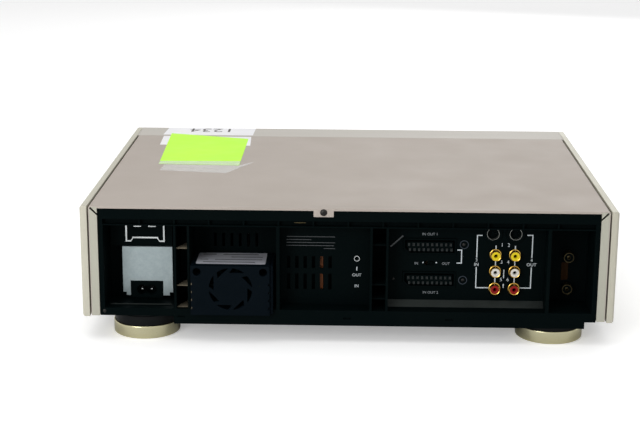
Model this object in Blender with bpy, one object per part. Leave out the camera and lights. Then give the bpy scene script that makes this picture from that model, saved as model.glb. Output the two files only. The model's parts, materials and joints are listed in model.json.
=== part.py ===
"""A front-loading video cassette recorder, seen from behind in its photograph.

Metres, +Z up. The front panel faces -Y and the sockets face +Y. The origin is
under the middle of the whole machine, on the surface that it stands on.
"""
import math

import bmesh
import bpy
from mathutils import Matrix, Vector

# Clearances
GAP = 0.0003                 # between pieces that touch
RUNNING_GAP = 0.0005         # round a shaft, a slide or a button
OVERRUN = 0.002              # how far a cutter passes the faces that it opens
WELD = 0.000003              # corners closer than this are one
FLAT_ANGLE = math.radians(0.05)
SMOOTH_ANGLE = math.radians(35)

# Cabinet
BODY_WIDTH = 0.470
BODY_DEPTH = 0.350
BODY_HEIGHT = 0.1016         # side panels, without the feet
SIDE_THICKNESS = 0.0065
SIDE_ROUND = 0.0025
SIDE_GROOVE = 0.0015         # dark line between side panel and cover
SPACER_WIDTH = 0.020
SPACER_HEIGHT = 0.070
SPACER_INSET = 0.060
SHEET = 0.001
COVER_STRIP = 0.0075         # cover's edge that shows from behind
COVER_LIP = 0.002
COVER_TAB_WIDTH = 0.0175
COVER_TAB_DROP = 0.0075
COVER_TAB_X = 0.0215
SCREW_DROP = 0.0038
SCREW_HEAD_RADIUS = 0.0031
SCREW_HEAD_HEIGHT = 0.0014
SCREW_HEAD_EDGE = 0.0005
SCREW_RADIUS = 0.0016
SCREW_LENGTH = 0.010
SCREW_CROSS_LENGTH = 0.0036
SCREW_CROSS_WIDTH = 0.0008
SCREW_CROSS_DEPTH = 0.0008

# Feet and base
FOOT_RADIUS = 0.030
FOOT_RING_HEIGHT = 0.0116
FOOT_COLLAR_RADIUS = 0.0288
FOOT_COLLAR_HEIGHT = 0.0111
FOOT_EDGE = 0.0012
FOOT_X = 0.1825
FOOT_REAR_INSET = 0.034
FOOT_FRONT_INSET = 0.052
BASE_RISE = 0.001            # base above the side panels' lower edge
BASE_SHEET = 0.0012
BASE_FLANGE = 0.012
POST_RADIUS = 0.0035

# Front panel
FASCIA_DEPTH = 0.042         # length of its top, as the photograph shows
FASCIA_WALL = 0.004
FASCIA_TOP_WALL = 0.0025
FASCIA_LIP = 0.012
FASCIA_END_WALL = 0.002

# Cassette, its slot and its flap
CASSETTE_WIDTH = 0.188
CASSETTE_DEPTH = 0.104
CASSETTE_HEIGHT = 0.025
CASSETTE_PLAY = 0.0006
SLOT_MARGIN = 0.002
SLOT_FLOOR = 0.088
FLAP_HEIGHT = 0.030
FLAP_THICKNESS = 0.0026
FLAP_SETBACK = 0.0009
FLAP_PIN_RADIUS = 0.0009
FLAP_PIN_LENGTH = 0.003

# Display and front board
WINDOW_WIDTH = 0.192
WINDOW_HEIGHT = 0.025
WINDOW_BOTTOM = 0.0575
WINDOW_THICKNESS = 0.0025
WINDOW_SETBACK = 0.0003
WINDOW_LEDGE = 0.002
BOARD = 0.0016
FRONT_BOARD_DEPTH = 0.012
FRONT_BOARD_BOTTOM = 0.0545
FRONT_BOARD_MIDDLE_TOP = 0.0845
FRONT_BOARD_WING_TOP = 0.1175
FRONT_BOARD_HALF = 0.216
FRONT_BOARD_WING_INNER = 0.106
DISPLAY_TUBE_WIDTH = 0.150
DISPLAY_TUBE_HEIGHT = 0.018
DISPLAY_TUBE_DEPTH = 0.006
BOSS_RADIUS = 0.0025

# Control door and the recess behind it
DOOR_LEFT = -0.214
DOOR_RIGHT = 0.118
DOOR_BOTTOM = 0.0266
DOOR_HEIGHT = 0.0241
DOOR_THICKNESS = 0.0025
DOOR_SETBACK = 0.0005
DOOR_PIN_RADIUS = 0.0008
DOOR_PIN_LENGTH = 0.003
RECESS_DEPTH = 0.0135
RECESS_WALL = 0.0014

# Buttons
BUTTON_PROUD = 0.0015
BUTTON_TRAVEL = 0.0015
BUTTON_EDGE = 0.0006
BUTTON_STEM_RADIUS = 0.002
POWER_X = -0.192
POWER_Z = 0.104
POWER_WIDTH = 0.030
POWER_HEIGHT = 0.011
EJECT_X = -0.128
EJECT_WIDTH = 0.022
KEY_ROW_Z = 0.070
STOP_X = -0.192
PLAY_X = -0.150
KEY_WIDTH = 0.034
KEY_HEIGHT = 0.012

# Jog dial and shuttle ring
JOG_X = 0.165
JOG_Z = 0.084
JOG_PROUD = 0.006
JOG_RADIUS = 0.019
JOG_DISC = 0.0085
JOG_DISH = 0.001
JOG_DIMPLE_RADIUS = 0.0038
JOG_SHAFT_RADIUS = 0.0025
SHUTTLE_RADIUS = 0.027
SHUTTLE_PROUD = 0.005
SHUTTLE_DEPTH = 0.0075
SHUTTLE_NUB_WIDTH = 0.004
SHUTTLE_NUB_LENGTH = 0.005
SHUTTLE_NUB_HEIGHT = 0.0008
ENCODER_RADIUS = 0.0055

# Rear frame. Its bays are given from the middle line, its depths from the rear.
FRAME_WALL = 0.002
FRAME_END = 0.004
FRAME_BAND = 0.0108          # smooth band along the top
FRAME_GROOVE = 0.0047        # ribbed groove under that band
FRAME_SHELF = 0.001          # between the groove and the bays
FRAME_GROOVE_DEPTH = 0.005
GROOVE_RIB = 0.0015
GROOVE_RIB_PITCH = 0.0305
GROOVE_RIB_COUNT = 13
BAND_DROP = 0.0061           # lower band below the side panels
BAND_DROP_LEFT = -0.2095
BAND_DROP_RIGHT = 0.154
BAND_NOTCH_WIDTH = 0.007
BAND_NOTCH_HEIGHT = 0.0016
BAND_NOTCH_X = (0.1475, 0.0002, -0.090)
BAY_FLOOR_HEIGHT = 0.008     # above the side panels' lower edge
MAINS_BAY_LEFT = 0.1533
FAN_BAY_LEFT = 0.063
FAN_BAY_RIGHT = 0.1393
VENT_BAY_LEFT = -0.0195
VENT_BAY_RIGHT = 0.060
JACK_BAY_LEFT = -0.1745
JACK_BAY_RIGHT = -0.0355
AERIAL_BAY_RIGHT = -0.1775
SHALLOW_BAY = 0.020
DEEP_BAY = 0.040
FIN = 0.0012
FIN_SETBACK = 0.006
FAN_FIN_HEIGHTS = (0.010, 0.030, 0.0665)
JACK_FIN_HEIGHTS = (0.018, 0.031, 0.0674)
SLOT_WIDTH = 0.0025
SLOT_PITCH = 0.0075
SLOT_COUNT = 6
FAN_SLOT_X = 0.1012
FAN_SLOT_BOTTOM = 0.055
FAN_SLOT_HEIGHT = 0.0125
VENT_X = 0.0344
VENT_WIDTH = 0.003
VENT_PITCH = 0.0074
VENT_LOW_BOTTOM = 0.0216
VENT_LOW_HEIGHT = 0.0146
VENT_HIGH_BOTTOM = 0.0413
VENT_HIGH_HEIGHT = 0.0111

# Mains bay
SHIELD_LEFT = 0.158
SHIELD_RIGHT = 0.203
SHIELD_BOTTOM = 0.0108
SHIELD_TOP = 0.0565
SHIELD_DEPTH = 0.030
SHIELD_NOTCH = 0.003
INLET_LEFT = 0.167
INLET_RIGHT = 0.196
INLET_HEIGHT = 0.016
INLET_DEPTH = 0.029
INLET_LENGTH = 0.020
INLET_HOLE_RADIUS = 0.0047
INLET_PIN_PITCH = 0.0086
INLET_PIN_RADIUS = 0.0011
INLET_HOLE_DEPTH = 0.012
INLET_PIN_SETBACK = 0.002
INLET_WAIST_SHARE = 0.8
CLIP_BLOCK_LEFT = 0.1575
CLIP_BLOCK_RIGHT = 0.2125
CLIP_BLOCK_BOTTOM = 0.058
CLIP_BLOCK_TOP = 0.078
CLIP_BLOCK_DEPTH = 0.028
CLIP_LEFT = 0.164
CLIP_RIGHT = 0.199
CLIP_BOTTOM = 0.0622
CLIP_TOP = 0.0772
CLIP_WIRE = 0.0016

# Fan module
FAN_LEFT = 0.0685
FAN_RIGHT = 0.138
FAN_TOP = 0.050
FAN_BEZEL_BOTTOM = 0.0047
FAN_PROUD = 0.006
FAN_LENGTH = 0.038
FAN_CORNER = 0.006
FAN_X = 0.1028
FAN_Z = 0.029
FAN_FACE = 0.0016
FAN_BORE_RADIUS = 0.019
FAN_BORE_LENGTH = 0.016
FAN_SWIRL_COUNT = 8
FAN_SWIRL_INNER = 0.0138
FAN_SWIRL_OUTER = 0.0184
FAN_SWIRL_SPAN_SHARE = 0.62
FAN_SWIRL_TWIST = math.radians(28)
FAN_SPIDER = 0.002
FAN_HUB_RADIUS = 0.0085
FAN_HUB_LENGTH = 0.009
FAN_BLADE_COUNT = 7
FAN_BLADE_RADIUS = 0.0182
FAN_BLADE = 0.0009
FAN_BLADE_LENGTH = 0.008
FAN_BLADE_PITCH = math.radians(38)
FAN_SHAFT_RADIUS = 0.0012
FAN_BOSS_RADIUS = 0.004
FAN_SCREW_RADIUS = 0.0029
FAN_SCREW_INSET = 0.0060
FAN_SCREW_DEPTH = 0.003

# Socket panel
SCART_X = -0.0725
SCART_WIDTH = 0.047
SCART_HEIGHT = 0.0145
SCART_LOW_BOTTOM = 0.025
SCART_HIGH_BOTTOM = 0.0557
SCART_CORNER = 0.005
SCART_PROUD = 0.001
SCART_RIM = 0.0014
SCART_GROOVE = 0.0018
SCART_GROOVE_DEPTH = 0.006
SCART_ISLAND_SETBACK = 0.0005
SOCKET_BODY = 0.0117         # from the panel's inner face back to the board
RCA_COLUMN_X = (-0.1313, -0.1484)
RCA_ROW_Z = (0.023, 0.0394, 0.0549)
RCA_RADIUS = 0.0042
RCA_FLANGE_RADIUS = 0.0054
RCA_FLANGE = 0.0012
RCA_BORE_RADIUS = 0.0018
RCA_PROUD = 0.0085
SVIDEO_COLUMN_X = (-0.1282, -0.1482)
SVIDEO_Z = 0.075
SVIDEO_RADIUS = 0.0082
SVIDEO_BORE_RADIUS = 0.0059
SVIDEO_PROUD = 0.0012
SVIDEO_BORE_DEPTH = 0.006
SVIDEO_CORE_RADIUS = 0.0045
BLOCK_MARGIN = 0.002
CONTROL_X = -0.008
CONTROL_Z = 0.0509
CONTROL_RADIUS = 0.0028
CONTROL_BORE_RADIUS = 0.0018
CONTROL_PROUD = 0.001
CONTROL_BODY = 0.012
CONTROL_BODY_WIDTH = 0.008
SWITCH_X = -0.0722
SWITCH_Z = 0.0474
SWITCH_KNOB_WIDTH = 0.003
SWITCH_KNOB_HEIGHT = 0.003
SWITCH_TRAVEL = 0.004
SWITCH_PROUD = 0.0012
SWITCH_FOOT = 0.0018

# Aerial unit
AERIAL_X = -0.197
AERIAL_ROWS_Z = (0.0195, 0.0490)
AERIAL_CAN_WIDTH = 0.033
AERIAL_CAN_LENGTH = 0.060
AERIAL_CAN_TOP = 0.064
COAX_RADIUS = 0.0047
COAX_BORE_RADIUS = 0.0019
COAX_LENGTH = 0.010

# Tape deck. Its places are given from the middle and back from the front.
DECK_BOTTOM = 0.056
DECK_SHEET = 0.0016
DECK_HALF = 0.110
DECK_FRONT = 0.034
DECK_BACK = 0.292
DECK_POST_X = 0.102
DECK_POST_FRONT = 0.042
DECK_POST_BACK = 0.284
PIN_RADIUS = 0.002
DECK_LIFT = 0.0006           # moving pieces above the deck
POST_TOP = 0.083             # tape guides' top

DRUM_Y = 0.228
DRUM_RADIUS = 0.031
DRUM_LOWER_HEIGHT = 0.017
DRUM_UPPER_HEIGHT = 0.016
DRUM_SHAFT_RADIUS = 0.003
DRUM_SHAFT_LENGTH = 0.014
DRUM_CAP_RADIUS = 0.013
DRUM_CAP_HEIGHT = 0.003
DRUM_STEP = 0.0008

REEL_X = 0.0463
REEL_Y = 0.116
REEL_FLANGE_RADIUS = 0.021
REEL_FLANGE = 0.003
REEL_HUB_RADIUS = 0.009
REEL_HUB_HEIGHT = 0.0075
REEL_SPINDLE_RADIUS = 0.0052
REEL_SPINDLE_HEIGHT = 0.020
REEL_WING_COUNT = 3
REEL_WING = 0.0016
REEL_WING_RADIUS = 0.0072
REEL_WING_DROP = 0.002

IDLER_Y = 0.093
IDLER_REACH = 0.020
IDLER_WHEEL_RADIUS = 0.012
ARM_WIDTH = 0.006
ARM_SHEET = 0.0012
ARM_BOSS_RADIUS = 0.004

CAPSTAN_X = 0.050
CAPSTAN_Y = 0.180
CAPSTAN_RADIUS = 0.0015
CAPSTAN_BUSH_RADIUS = 0.0038
CAPSTAN_BUSH_HEIGHT = 0.0024  # stays below the pinch roller
FLYWHEEL_RADIUS = 0.022
FLYWHEEL_THICKNESS = 0.006
FLYWHEEL_DROP = 0.006        # under the deck
FLYWHEEL_PIVOT = 0.002
MOTOR_PLATE_RADIUS = 0.030
MOTOR_PLATE = 0.0014
MOTOR_BOSS_HEIGHT = 0.0024
MOTOR_POST_RADIUS = 0.002
MOTOR_POST_REACH = 0.0268
MOTOR_POST_COUNT = 3
MOTOR_POST_START = math.radians(90)    # keeps posts clear of the guide slot

PINCH_PIVOT_X = 0.074
PINCH_PIVOT_Y = 0.197
PINCH_RADIUS = 0.006
PINCH_SWING = math.radians(26)
PINCH_SIDE = math.radians(-4)    # where the roller meets the capstan

HEAD_WIDTH = 0.010
HEAD_DEPTH = 0.007
CONTROL_HEAD_X = 0.036
CONTROL_HEAD_Y = 0.164
ERASE_HEAD_X = -0.037
ERASE_HEAD_Y = 0.164
HEAD_BASE = 0.003
HEAD_BASE_MARGIN = 0.003

TENSION_PIVOT_X = -0.075
TENSION_PIVOT_Y = 0.152
TENSION_TIP_X = -0.055
TENSION_TIP_Y = 0.166
POLE_RADIUS = 0.0015

GUIDE_START_X = 0.017
GUIDE_START_Y = 0.168
GUIDE_END_X = 0.042
GUIDE_END_Y = 0.225
GUIDE_SLED_LENGTH = 0.012
GUIDE_SLED_WIDTH = 0.010
GUIDE_SLED = 0.003
GUIDE_ROLLER_RADIUS = 0.003
GUIDE_NECK_RADIUS = 0.0015
GUIDE_PIN_RADIUS = 0.002

TOOTH_MODULE = 0.001
TOOTH_SHARE = 0.40           # of the pitch that a tooth fills
PRESSURE_ANGLE = math.radians(20)
ADDENDUM_SHARE = 0.8
DEDENDUM_SHARE = 1.25
LOADING_Y = 0.190
LOADING_TEETH = 36
LOADING_PINION_TEETH = 12
LOADING_FACE = 0.004
LOADING_DROP = 0.0005
LOADING_PIN_RADIUS = 0.003
LOADING_MOTOR_RADIUS = 0.011
LOADING_MOTOR_HEIGHT = 0.011
LOADING_SHAFT_RADIUS = 0.0012
LOADING_SHAFT_LENGTH = 0.005
LOADING_EAR = 0.0015
LOADING_EAR_REACH = 0.015

# Cassette carriage
HOLDER_SHEET = 0.001
HOLDER_MOUTH = 0.0325
HOLDER_DROP = 0.022
HOLDER_LIP = 0.010
HOLDER_WINDOW_WIDTH = 0.120
HOLDER_WINDOW_DEPTH = 0.056
CARRIAGE_TRAVEL = 0.040
CARRIAGE_SHEET = 0.0015
CARRIAGE_GAP = 0.0006
CARRIAGE_PIN_RADIUS = 0.0015
HOLDER_PIN_FRONT = 0.018     # behind the holder's mouth
HOLDER_PIN_BACK = 0.088
SLIDER_PIN_FRONT = 0.008
SLIDER_PIN_BACK = 0.098
SLIDER_PIN_DROP = 0.005      # below the holder's top
SLIDER_BAR = 0.012
SLIDER_RACK_DROP = 0.0265     # rack below the holder's pins at their highest
BRACKET_BACK = 0.196
BRACKET_FOOT = 0.006
BRACKET_RISE = 0.0042        # bracket above the holder's top
CARRIAGE_PINION_TEETH = 14
CARRIAGE_PINION_Y = 0.105
CARRIAGE_PINION_HEAD = 0.0012
CARRIAGE_PINION_HEAD_RADIUS = 0.003

# Boards and power supply
BOARD_RISE = 0.006           # above the base
MAIN_BOARD_HALF = 0.090
MAIN_BOARD_FRONT = 0.056
MAIN_BOARD_BACK = 0.288
BOARD_POST_INSET = 0.008
CHIP = 0.016
CHIP_HEIGHT = 0.0018
CHIP_PLACES_SHARE = ((-0.55, 0.12), (0.0, 0.22), (0.5, 0.14))
POWER_BOARD_LEFT = 0.120
POWER_BOARD_RIGHT = 0.214
POWER_BOARD_FRONT = 0.170
TRANSFORMER_WIDTH = 0.046
TRANSFORMER_DEPTH = 0.038
TRANSFORMER_HEIGHT = 0.036
TRANSFORMER_CORE = 0.010
TRANSFORMER_MARGIN = 0.010

# Sides of round pieces
FINE = 28
ROUND = 20
SMALL = 10


def lattice(count, pitch, middle):
    """Places of a row of like features, evenly spaced about its middle."""
    return [middle + (index - (count - 1) / 2) * pitch for index in range(count)]


def add_object(name, mesh_maker):
    """A new object in the scene from a bmesh, with its faces turned outward."""
    bmesh.ops.recalc_face_normals(mesh_maker, faces=mesh_maker.faces)
    mesh = bpy.data.meshes.new(name)
    mesh_maker.to_mesh(mesh)
    mesh_maker.free()
    item = bpy.data.objects.new(name, mesh)
    bpy.context.scene.collection.objects.link(item)
    return item


def block(name, x, y, z):
    """A box between two values on each axis."""
    maker = bmesh.new()
    bmesh.ops.create_cube(maker, size=1)
    for corner in maker.verts:
        corner.co = [ends[value > 0] for ends, value in zip((x, y, z), corner.co)]
    return add_object(name, maker)


def extruded(name, outline, start, end, axis="Z"):
    """An outline of two-value points, extruded along an axis."""
    order = {"X": lambda a, b, h: (h, a, b), "Y": lambda a, b, h: (a, h, b),
             "Z": lambda a, b, h: (a, b, h)}[axis]
    maker = bmesh.new()
    low = [maker.verts.new(order(a, b, start)) for a, b in outline]
    face = maker.faces.new(low)
    side = bmesh.ops.extrude_face_region(maker, geom=[face])
    for item in side["geom"]:
        if isinstance(item, bmesh.types.BMVert):
            item.co["XYZ".index(axis)] = end
    return add_object(name, maker)


def merge_flat(maker):
    """Make one face of faces that lie in one plane."""
    bmesh.ops.dissolve_limit(maker, angle_limit=FLAT_ANGLE, verts=maker.verts, edges=maker.edges)


def turned(name, profile, centre, axis="Z", sides=ROUND):
    """A turned piece from (radius, height) points, along an axis through a centre.

    A profile that starts and ends on the axis is solid, any other is a ring.
    """
    maker = bmesh.new()
    solid = profile[0][0] == 0 and profile[-1][0] == 0
    points = [maker.verts.new((radius, 0, height)) for radius, height in profile]
    edges = [maker.edges.new(pair) for pair in zip(points, points[1:])]
    if not solid:
        edges.append(maker.edges.new((points[-1], points[0])))
    bmesh.ops.spin(maker, geom=points + edges, cent=(0, 0, 0), axis=(0, 0, 1),
                   angle=math.tau, steps=sides, use_merge=True)
    bmesh.ops.remove_doubles(maker, verts=maker.verts, dist=WELD)
    merge_flat(maker)
    turn = {"X": Matrix.Rotation(math.pi / 2, 4, "Y"), "Y": Matrix.Rotation(-math.pi / 2, 4, "X"),
            "Z": Matrix.Identity(4)}[axis]
    bmesh.ops.transform(maker, matrix=Matrix.Translation(centre) @ turn, verts=maker.verts)
    return add_object(name, maker)


def rod(name, radius, start, end, place, axis="Z", sides=SMALL):
    """A plain cylinder from start to end along an axis, at its two other values."""
    centre = {"X": (0, *place), "Y": (place[0], 0, place[1]), "Z": (*place, 0)}[axis]
    profile = [(0, start), (radius, start), (radius, end), (0, end)]
    return turned(name, profile, centre, axis, sides)


def combine(item, others, operation):
    """Join other shapes to an item, or cut them from it, and take them away."""
    for other in others:
        step = item.modifiers.new(operation, "BOOLEAN")
        step.operation = operation
        step.solver = "EXACT"
        step.object = other
    graph = bpy.context.evaluated_depsgraph_get()
    result = bpy.data.meshes.new_from_object(item.evaluated_get(graph))
    item.modifiers.clear()
    old = item.data
    item.data = result
    bpy.data.meshes.remove(old)
    for other in others:
        bpy.data.objects.remove(other)
    tidy = bmesh.new()
    tidy.from_mesh(result)
    merge_flat(tidy)
    tidy.to_mesh(result)
    tidy.free()
    return item


def join(item, *others):
    return combine(item, others, "UNION")


def cut(item, *others):
    return combine(item, others, "DIFFERENCE")


def set_origin(item, place):
    """Move an object's origin to a point on its axis, and leave its shape in place."""
    item.data.transform(Matrix.Translation(-Vector(place)))
    item.location = place


def give_finish(item, finish):
    """A Principled material of the piece's own."""
    colour, roughness, metallic = finish
    material = bpy.data.materials.new(item.name + "_finish")
    material.use_nodes = True
    shader = material.node_tree.nodes["Principled BSDF"]
    shader.inputs["Base Color"].default_value = (*colour, 1)
    shader.inputs["Roughness"].default_value = roughness
    shader.inputs["Metallic"].default_value = metallic
    item.data.materials.clear()
    item.data.materials.append(material)


def shade_round(item):
    item.data.shade_smooth()
    item.data.set_sharp_from_angle(angle=SMOOTH_ANGLE)


def round_edges(item, chosen, width, segments=3):
    """Bevel the edges whose two ends are both chosen."""
    mesh = item.data
    weights = mesh.attributes.new("bevel_weight_edge", "FLOAT", "EDGE")
    for edge in mesh.edges:
        ends = [mesh.vertices[index].co for index in edge.vertices]
        weights.data[edge.index].value = float(all(chosen(end) for end in ends))
    bevel = item.modifiers.new("rounding", "BEVEL")
    bevel.limit_method = "WEIGHT"
    bevel.width = width
    bevel.segments = segments


def stadium(start, end, radius, steps=4):
    """Outline of a slot with round ends between two points."""
    along = (Vector(end) - Vector(start)).normalized()
    angle = math.atan2(along.y, along.x)
    points = []
    for centre, base in ((end, angle - math.pi / 2), (start, angle + math.pi / 2)):
        for step in range(steps + 1):
            turn = base + math.pi * step / steps
            points.append((centre[0] + radius * math.cos(turn), centre[1] + radius * math.sin(turn)))
    return points


def tooth_half(height):
    """Half a tooth's width, at a height above its pitch line."""
    return math.pi * TOOTH_MODULE * TOOTH_SHARE / 2 - height * math.tan(PRESSURE_ANGLE)


def gear_outline(centre, teeth, first_tooth):
    """Outline of a gear with straight-flanked teeth, one of them at a given angle."""
    radius = TOOTH_MODULE * teeth / 2
    rise = TOOTH_MODULE * ADDENDUM_SHARE
    fall = TOOTH_MODULE * DEDENDUM_SHARE
    points = []
    for tooth in range(teeth):
        middle = first_tooth + math.tau * tooth / teeth
        for height, side in ((-fall, -1), (rise, -1), (rise, 1), (-fall, 1)):
            reach = radius + height
            angle = middle + side * tooth_half(height) / reach
            points.append((centre[0] + reach * math.cos(angle), centre[1] + reach * math.sin(angle)))
    return points


for item in list(bpy.data.objects):
    bpy.data.objects.remove(item)

# Finishes: linear colour, roughness, metallic
CHAMPAGNE = ((0.50, 0.44, 0.38), 0.38, 0.55)
CHAMPAGNE_PALE = ((0.60, 0.54, 0.47), 0.36, 0.55)
PALE_METAL = ((0.58, 0.57, 0.50), 0.35, 0.60)
GOLD = ((0.55, 0.46, 0.24), 0.28, 0.95)
BLACK_PLASTIC = ((0.010, 0.014, 0.015), 0.45, 0.0)
BLACK_STEEL = ((0.02, 0.02, 0.02), 0.40, 0.6)
DARK_WINDOW = ((0.010, 0.010, 0.012), 0.08, 0.0)
STEEL = ((0.45, 0.46, 0.47), 0.35, 0.9)
PLATE_STEEL = ((0.28, 0.31, 0.32), 0.40, 0.8)
BRIGHT_STEEL = ((0.70, 0.70, 0.70), 0.15, 1.0)
GREEN_BOARD = ((0.03, 0.12, 0.05), 0.45, 0.0)
BROWN_BOARD = ((0.30, 0.17, 0.07), 0.55, 0.0)
COPPER = ((0.35, 0.16, 0.07), 0.40, 0.6)
WHITE_PLASTIC = ((0.60, 0.58, 0.53), 0.45, 0.0)
RUBBER = ((0.015, 0.015, 0.015), 0.80, 0.0)
ALUMINIUM = ((0.65, 0.66, 0.67), 0.28, 0.95)
BRASS = ((0.60, 0.45, 0.18), 0.30, 0.95)

# Planes that the pieces share
FOOT_HEIGHT = FOOT_RING_HEIGHT + FOOT_COLLAR_HEIGHT
BASE_BOTTOM = FOOT_HEIGHT + GAP
BASE_TOP = BASE_BOTTOM + BASE_SHEET
LOW = BASE_BOTTOM - BASE_RISE                 # side panels' lower edge
TOP = LOW + BODY_HEIGHT
HALF = BODY_WIDTH / 2
REAR = (BODY_DEPTH + JOG_PROUD - FAN_PROUD) / 2
FRONT = REAR - BODY_DEPTH
PANEL_INNER = HALF - SIDE_THICKNESS
COVER_HALF = PANEL_INNER - SIDE_GROOVE
FRAME_HALF = COVER_HALF - COVER_STRIP - GAP
FRAME_FACE = REAR - SHEET - GAP
BASE_HALF = COVER_HALF - SHEET - GAP
DECK_TOP = DECK_BOTTOM + DECK_SHEET


def from_front(distance):
    return FRONT + distance


def from_rear(distance):
    return REAR - distance


# Cabinet shells
for side, name in ((1, "side_panel_right"), (-1, "side_panel_left")):
    panel = block(name, (side * PANEL_INNER, side * HALF), (FRONT, REAR), (LOW, TOP))
    for place in (FRONT + SPACER_INSET, REAR - SPACER_INSET):
        pad = block("pad", (side * (COVER_HALF + GAP), side * (HALF - SIDE_THICKNESS / 2)),
                    (place - SPACER_WIDTH / 2, place + SPACER_WIDTH / 2),
                    ((LOW + TOP - SPACER_HEIGHT) / 2, (LOW + TOP + SPACER_HEIGHT) / 2))
        join(panel, pad)
    round_edges(panel, lambda end, side=side: side * end.x > HALF - GAP, SIDE_ROUND)
    give_finish(panel, PALE_METAL)

COVER_FRONT = from_front(FASCIA_DEPTH) + GAP
cover = block("top_cover", (-COVER_HALF, COVER_HALF), (COVER_FRONT, REAR), (TOP - SHEET, TOP))
cover_shapes = [
    block("lip", (-COVER_HALF, COVER_HALF), (REAR - SHEET, REAR), (TOP - COVER_LIP, TOP)),
    block("tab", (COVER_TAB_X - COVER_TAB_WIDTH / 2, COVER_TAB_X + COVER_TAB_WIDTH / 2),
          (REAR - SHEET, REAR), (TOP - COVER_TAB_DROP, TOP))]
for side in (1, -1):
    cover_shapes.append(block("flange", (side * (COVER_HALF - SHEET), side * COVER_HALF),
                              (COVER_FRONT, REAR), (BASE_BOTTOM, TOP)))
    cover_shapes.append(block("strip", (side * (COVER_HALF - COVER_STRIP), side * COVER_HALF),
                              (REAR - SHEET, REAR), (BASE_BOTTOM, TOP)))
join(cover, *cover_shapes)
SCREW_Z = TOP - SCREW_DROP
cut(cover, rod("hole", SCREW_RADIUS + GAP, REAR - SHEET - OVERRUN, REAR + OVERRUN,
               (COVER_TAB_X, SCREW_Z), "Y"))
give_finish(cover, CHAMPAGNE)

screw = turned("cover_screw", [
    (0, GAP + SCREW_HEAD_HEIGHT), (SCREW_HEAD_RADIUS / 2, GAP + SCREW_HEAD_HEIGHT),
    (SCREW_HEAD_RADIUS, GAP + SCREW_HEAD_EDGE), (SCREW_HEAD_RADIUS, GAP),
    (SCREW_RADIUS, GAP), (SCREW_RADIUS, GAP - SCREW_LENGTH), (0, GAP - SCREW_LENGTH)],
    (COVER_TAB_X, REAR, SCREW_Z), "Y", SMALL)
HEAD_FACE = REAR + GAP + SCREW_HEAD_HEIGHT
for across, up in ((SCREW_CROSS_LENGTH, SCREW_CROSS_WIDTH), (SCREW_CROSS_WIDTH, SCREW_CROSS_LENGTH)):
    cut(screw, block("cross", (COVER_TAB_X - across / 2, COVER_TAB_X + across / 2),
                     (HEAD_FACE - SCREW_CROSS_DEPTH, HEAD_FACE + OVERRUN),
                     (SCREW_Z - up / 2, SCREW_Z + up / 2)))
shade_round(screw)
give_finish(screw, BLACK_STEEL)

# Feet
for side, across in ((1, "right"), (-1, "left")):
    for place, along in ((FRONT + FOOT_FRONT_INSET, "front"), (REAR - FOOT_REAR_INSET, "rear")):
        foot = turned("foot_" + along + "_" + across, [
            (0, 0), (FOOT_RADIUS - FOOT_EDGE, 0), (FOOT_RADIUS, FOOT_EDGE),
            (FOOT_RADIUS, FOOT_RING_HEIGHT - FOOT_EDGE), (FOOT_COLLAR_RADIUS, FOOT_RING_HEIGHT),
            (FOOT_COLLAR_RADIUS, FOOT_HEIGHT), (0, FOOT_HEIGHT)],
            (side * FOOT_X, place, 0), "Z", FINE)
        shade_round(foot)
        give_finish(foot, GOLD)

# Base, with the posts that carry the deck and the boards
BASE_FRONT = from_front(FASCIA_LIP) + GAP
BASE_REAR = FRAME_FACE - FRAME_WALL - GAP
BOARD_BOTTOM = BASE_TOP + BOARD_RISE
POWER_BOARD_BACK = from_rear(INLET_DEPTH + INLET_LENGTH) - GAP
base = block("base_plate", (-BASE_HALF, BASE_HALF), (BASE_FRONT, BASE_REAR), (BASE_BOTTOM, BASE_TOP))
base_shapes = [block("flange", (side * (BASE_HALF - BASE_SHEET), side * BASE_HALF),
                     (COVER_FRONT, BASE_REAR), (BASE_BOTTOM, BASE_TOP + BASE_FLANGE))
               for side in (1, -1)]
for x in (-DECK_POST_X, DECK_POST_X):
    for y in (DECK_POST_FRONT, DECK_POST_BACK):
        base_shapes.append(rod("post", POST_RADIUS, BASE_TOP - BASE_SHEET / 2, DECK_BOTTOM - GAP,
                               (x, from_front(y))))
board_posts = [(side * (MAIN_BOARD_HALF - BOARD_POST_INSET), from_front(y)) for side in (1, -1)
               for y in (MAIN_BOARD_FRONT + BOARD_POST_INSET, MAIN_BOARD_BACK - BOARD_POST_INSET)]
board_posts += [(x, y) for x in (POWER_BOARD_LEFT + BOARD_POST_INSET, POWER_BOARD_RIGHT - BOARD_POST_INSET)
                for y in (from_front(POWER_BOARD_FRONT) + BOARD_POST_INSET,
                          POWER_BOARD_BACK - BOARD_POST_INSET)]
base_shapes += [rod("post", POST_RADIUS, BASE_TOP - BASE_SHEET / 2, BOARD_BOTTOM - GAP, place)
                for place in board_posts]
join(base, *base_shapes)
give_finish(base, STEEL)

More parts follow.
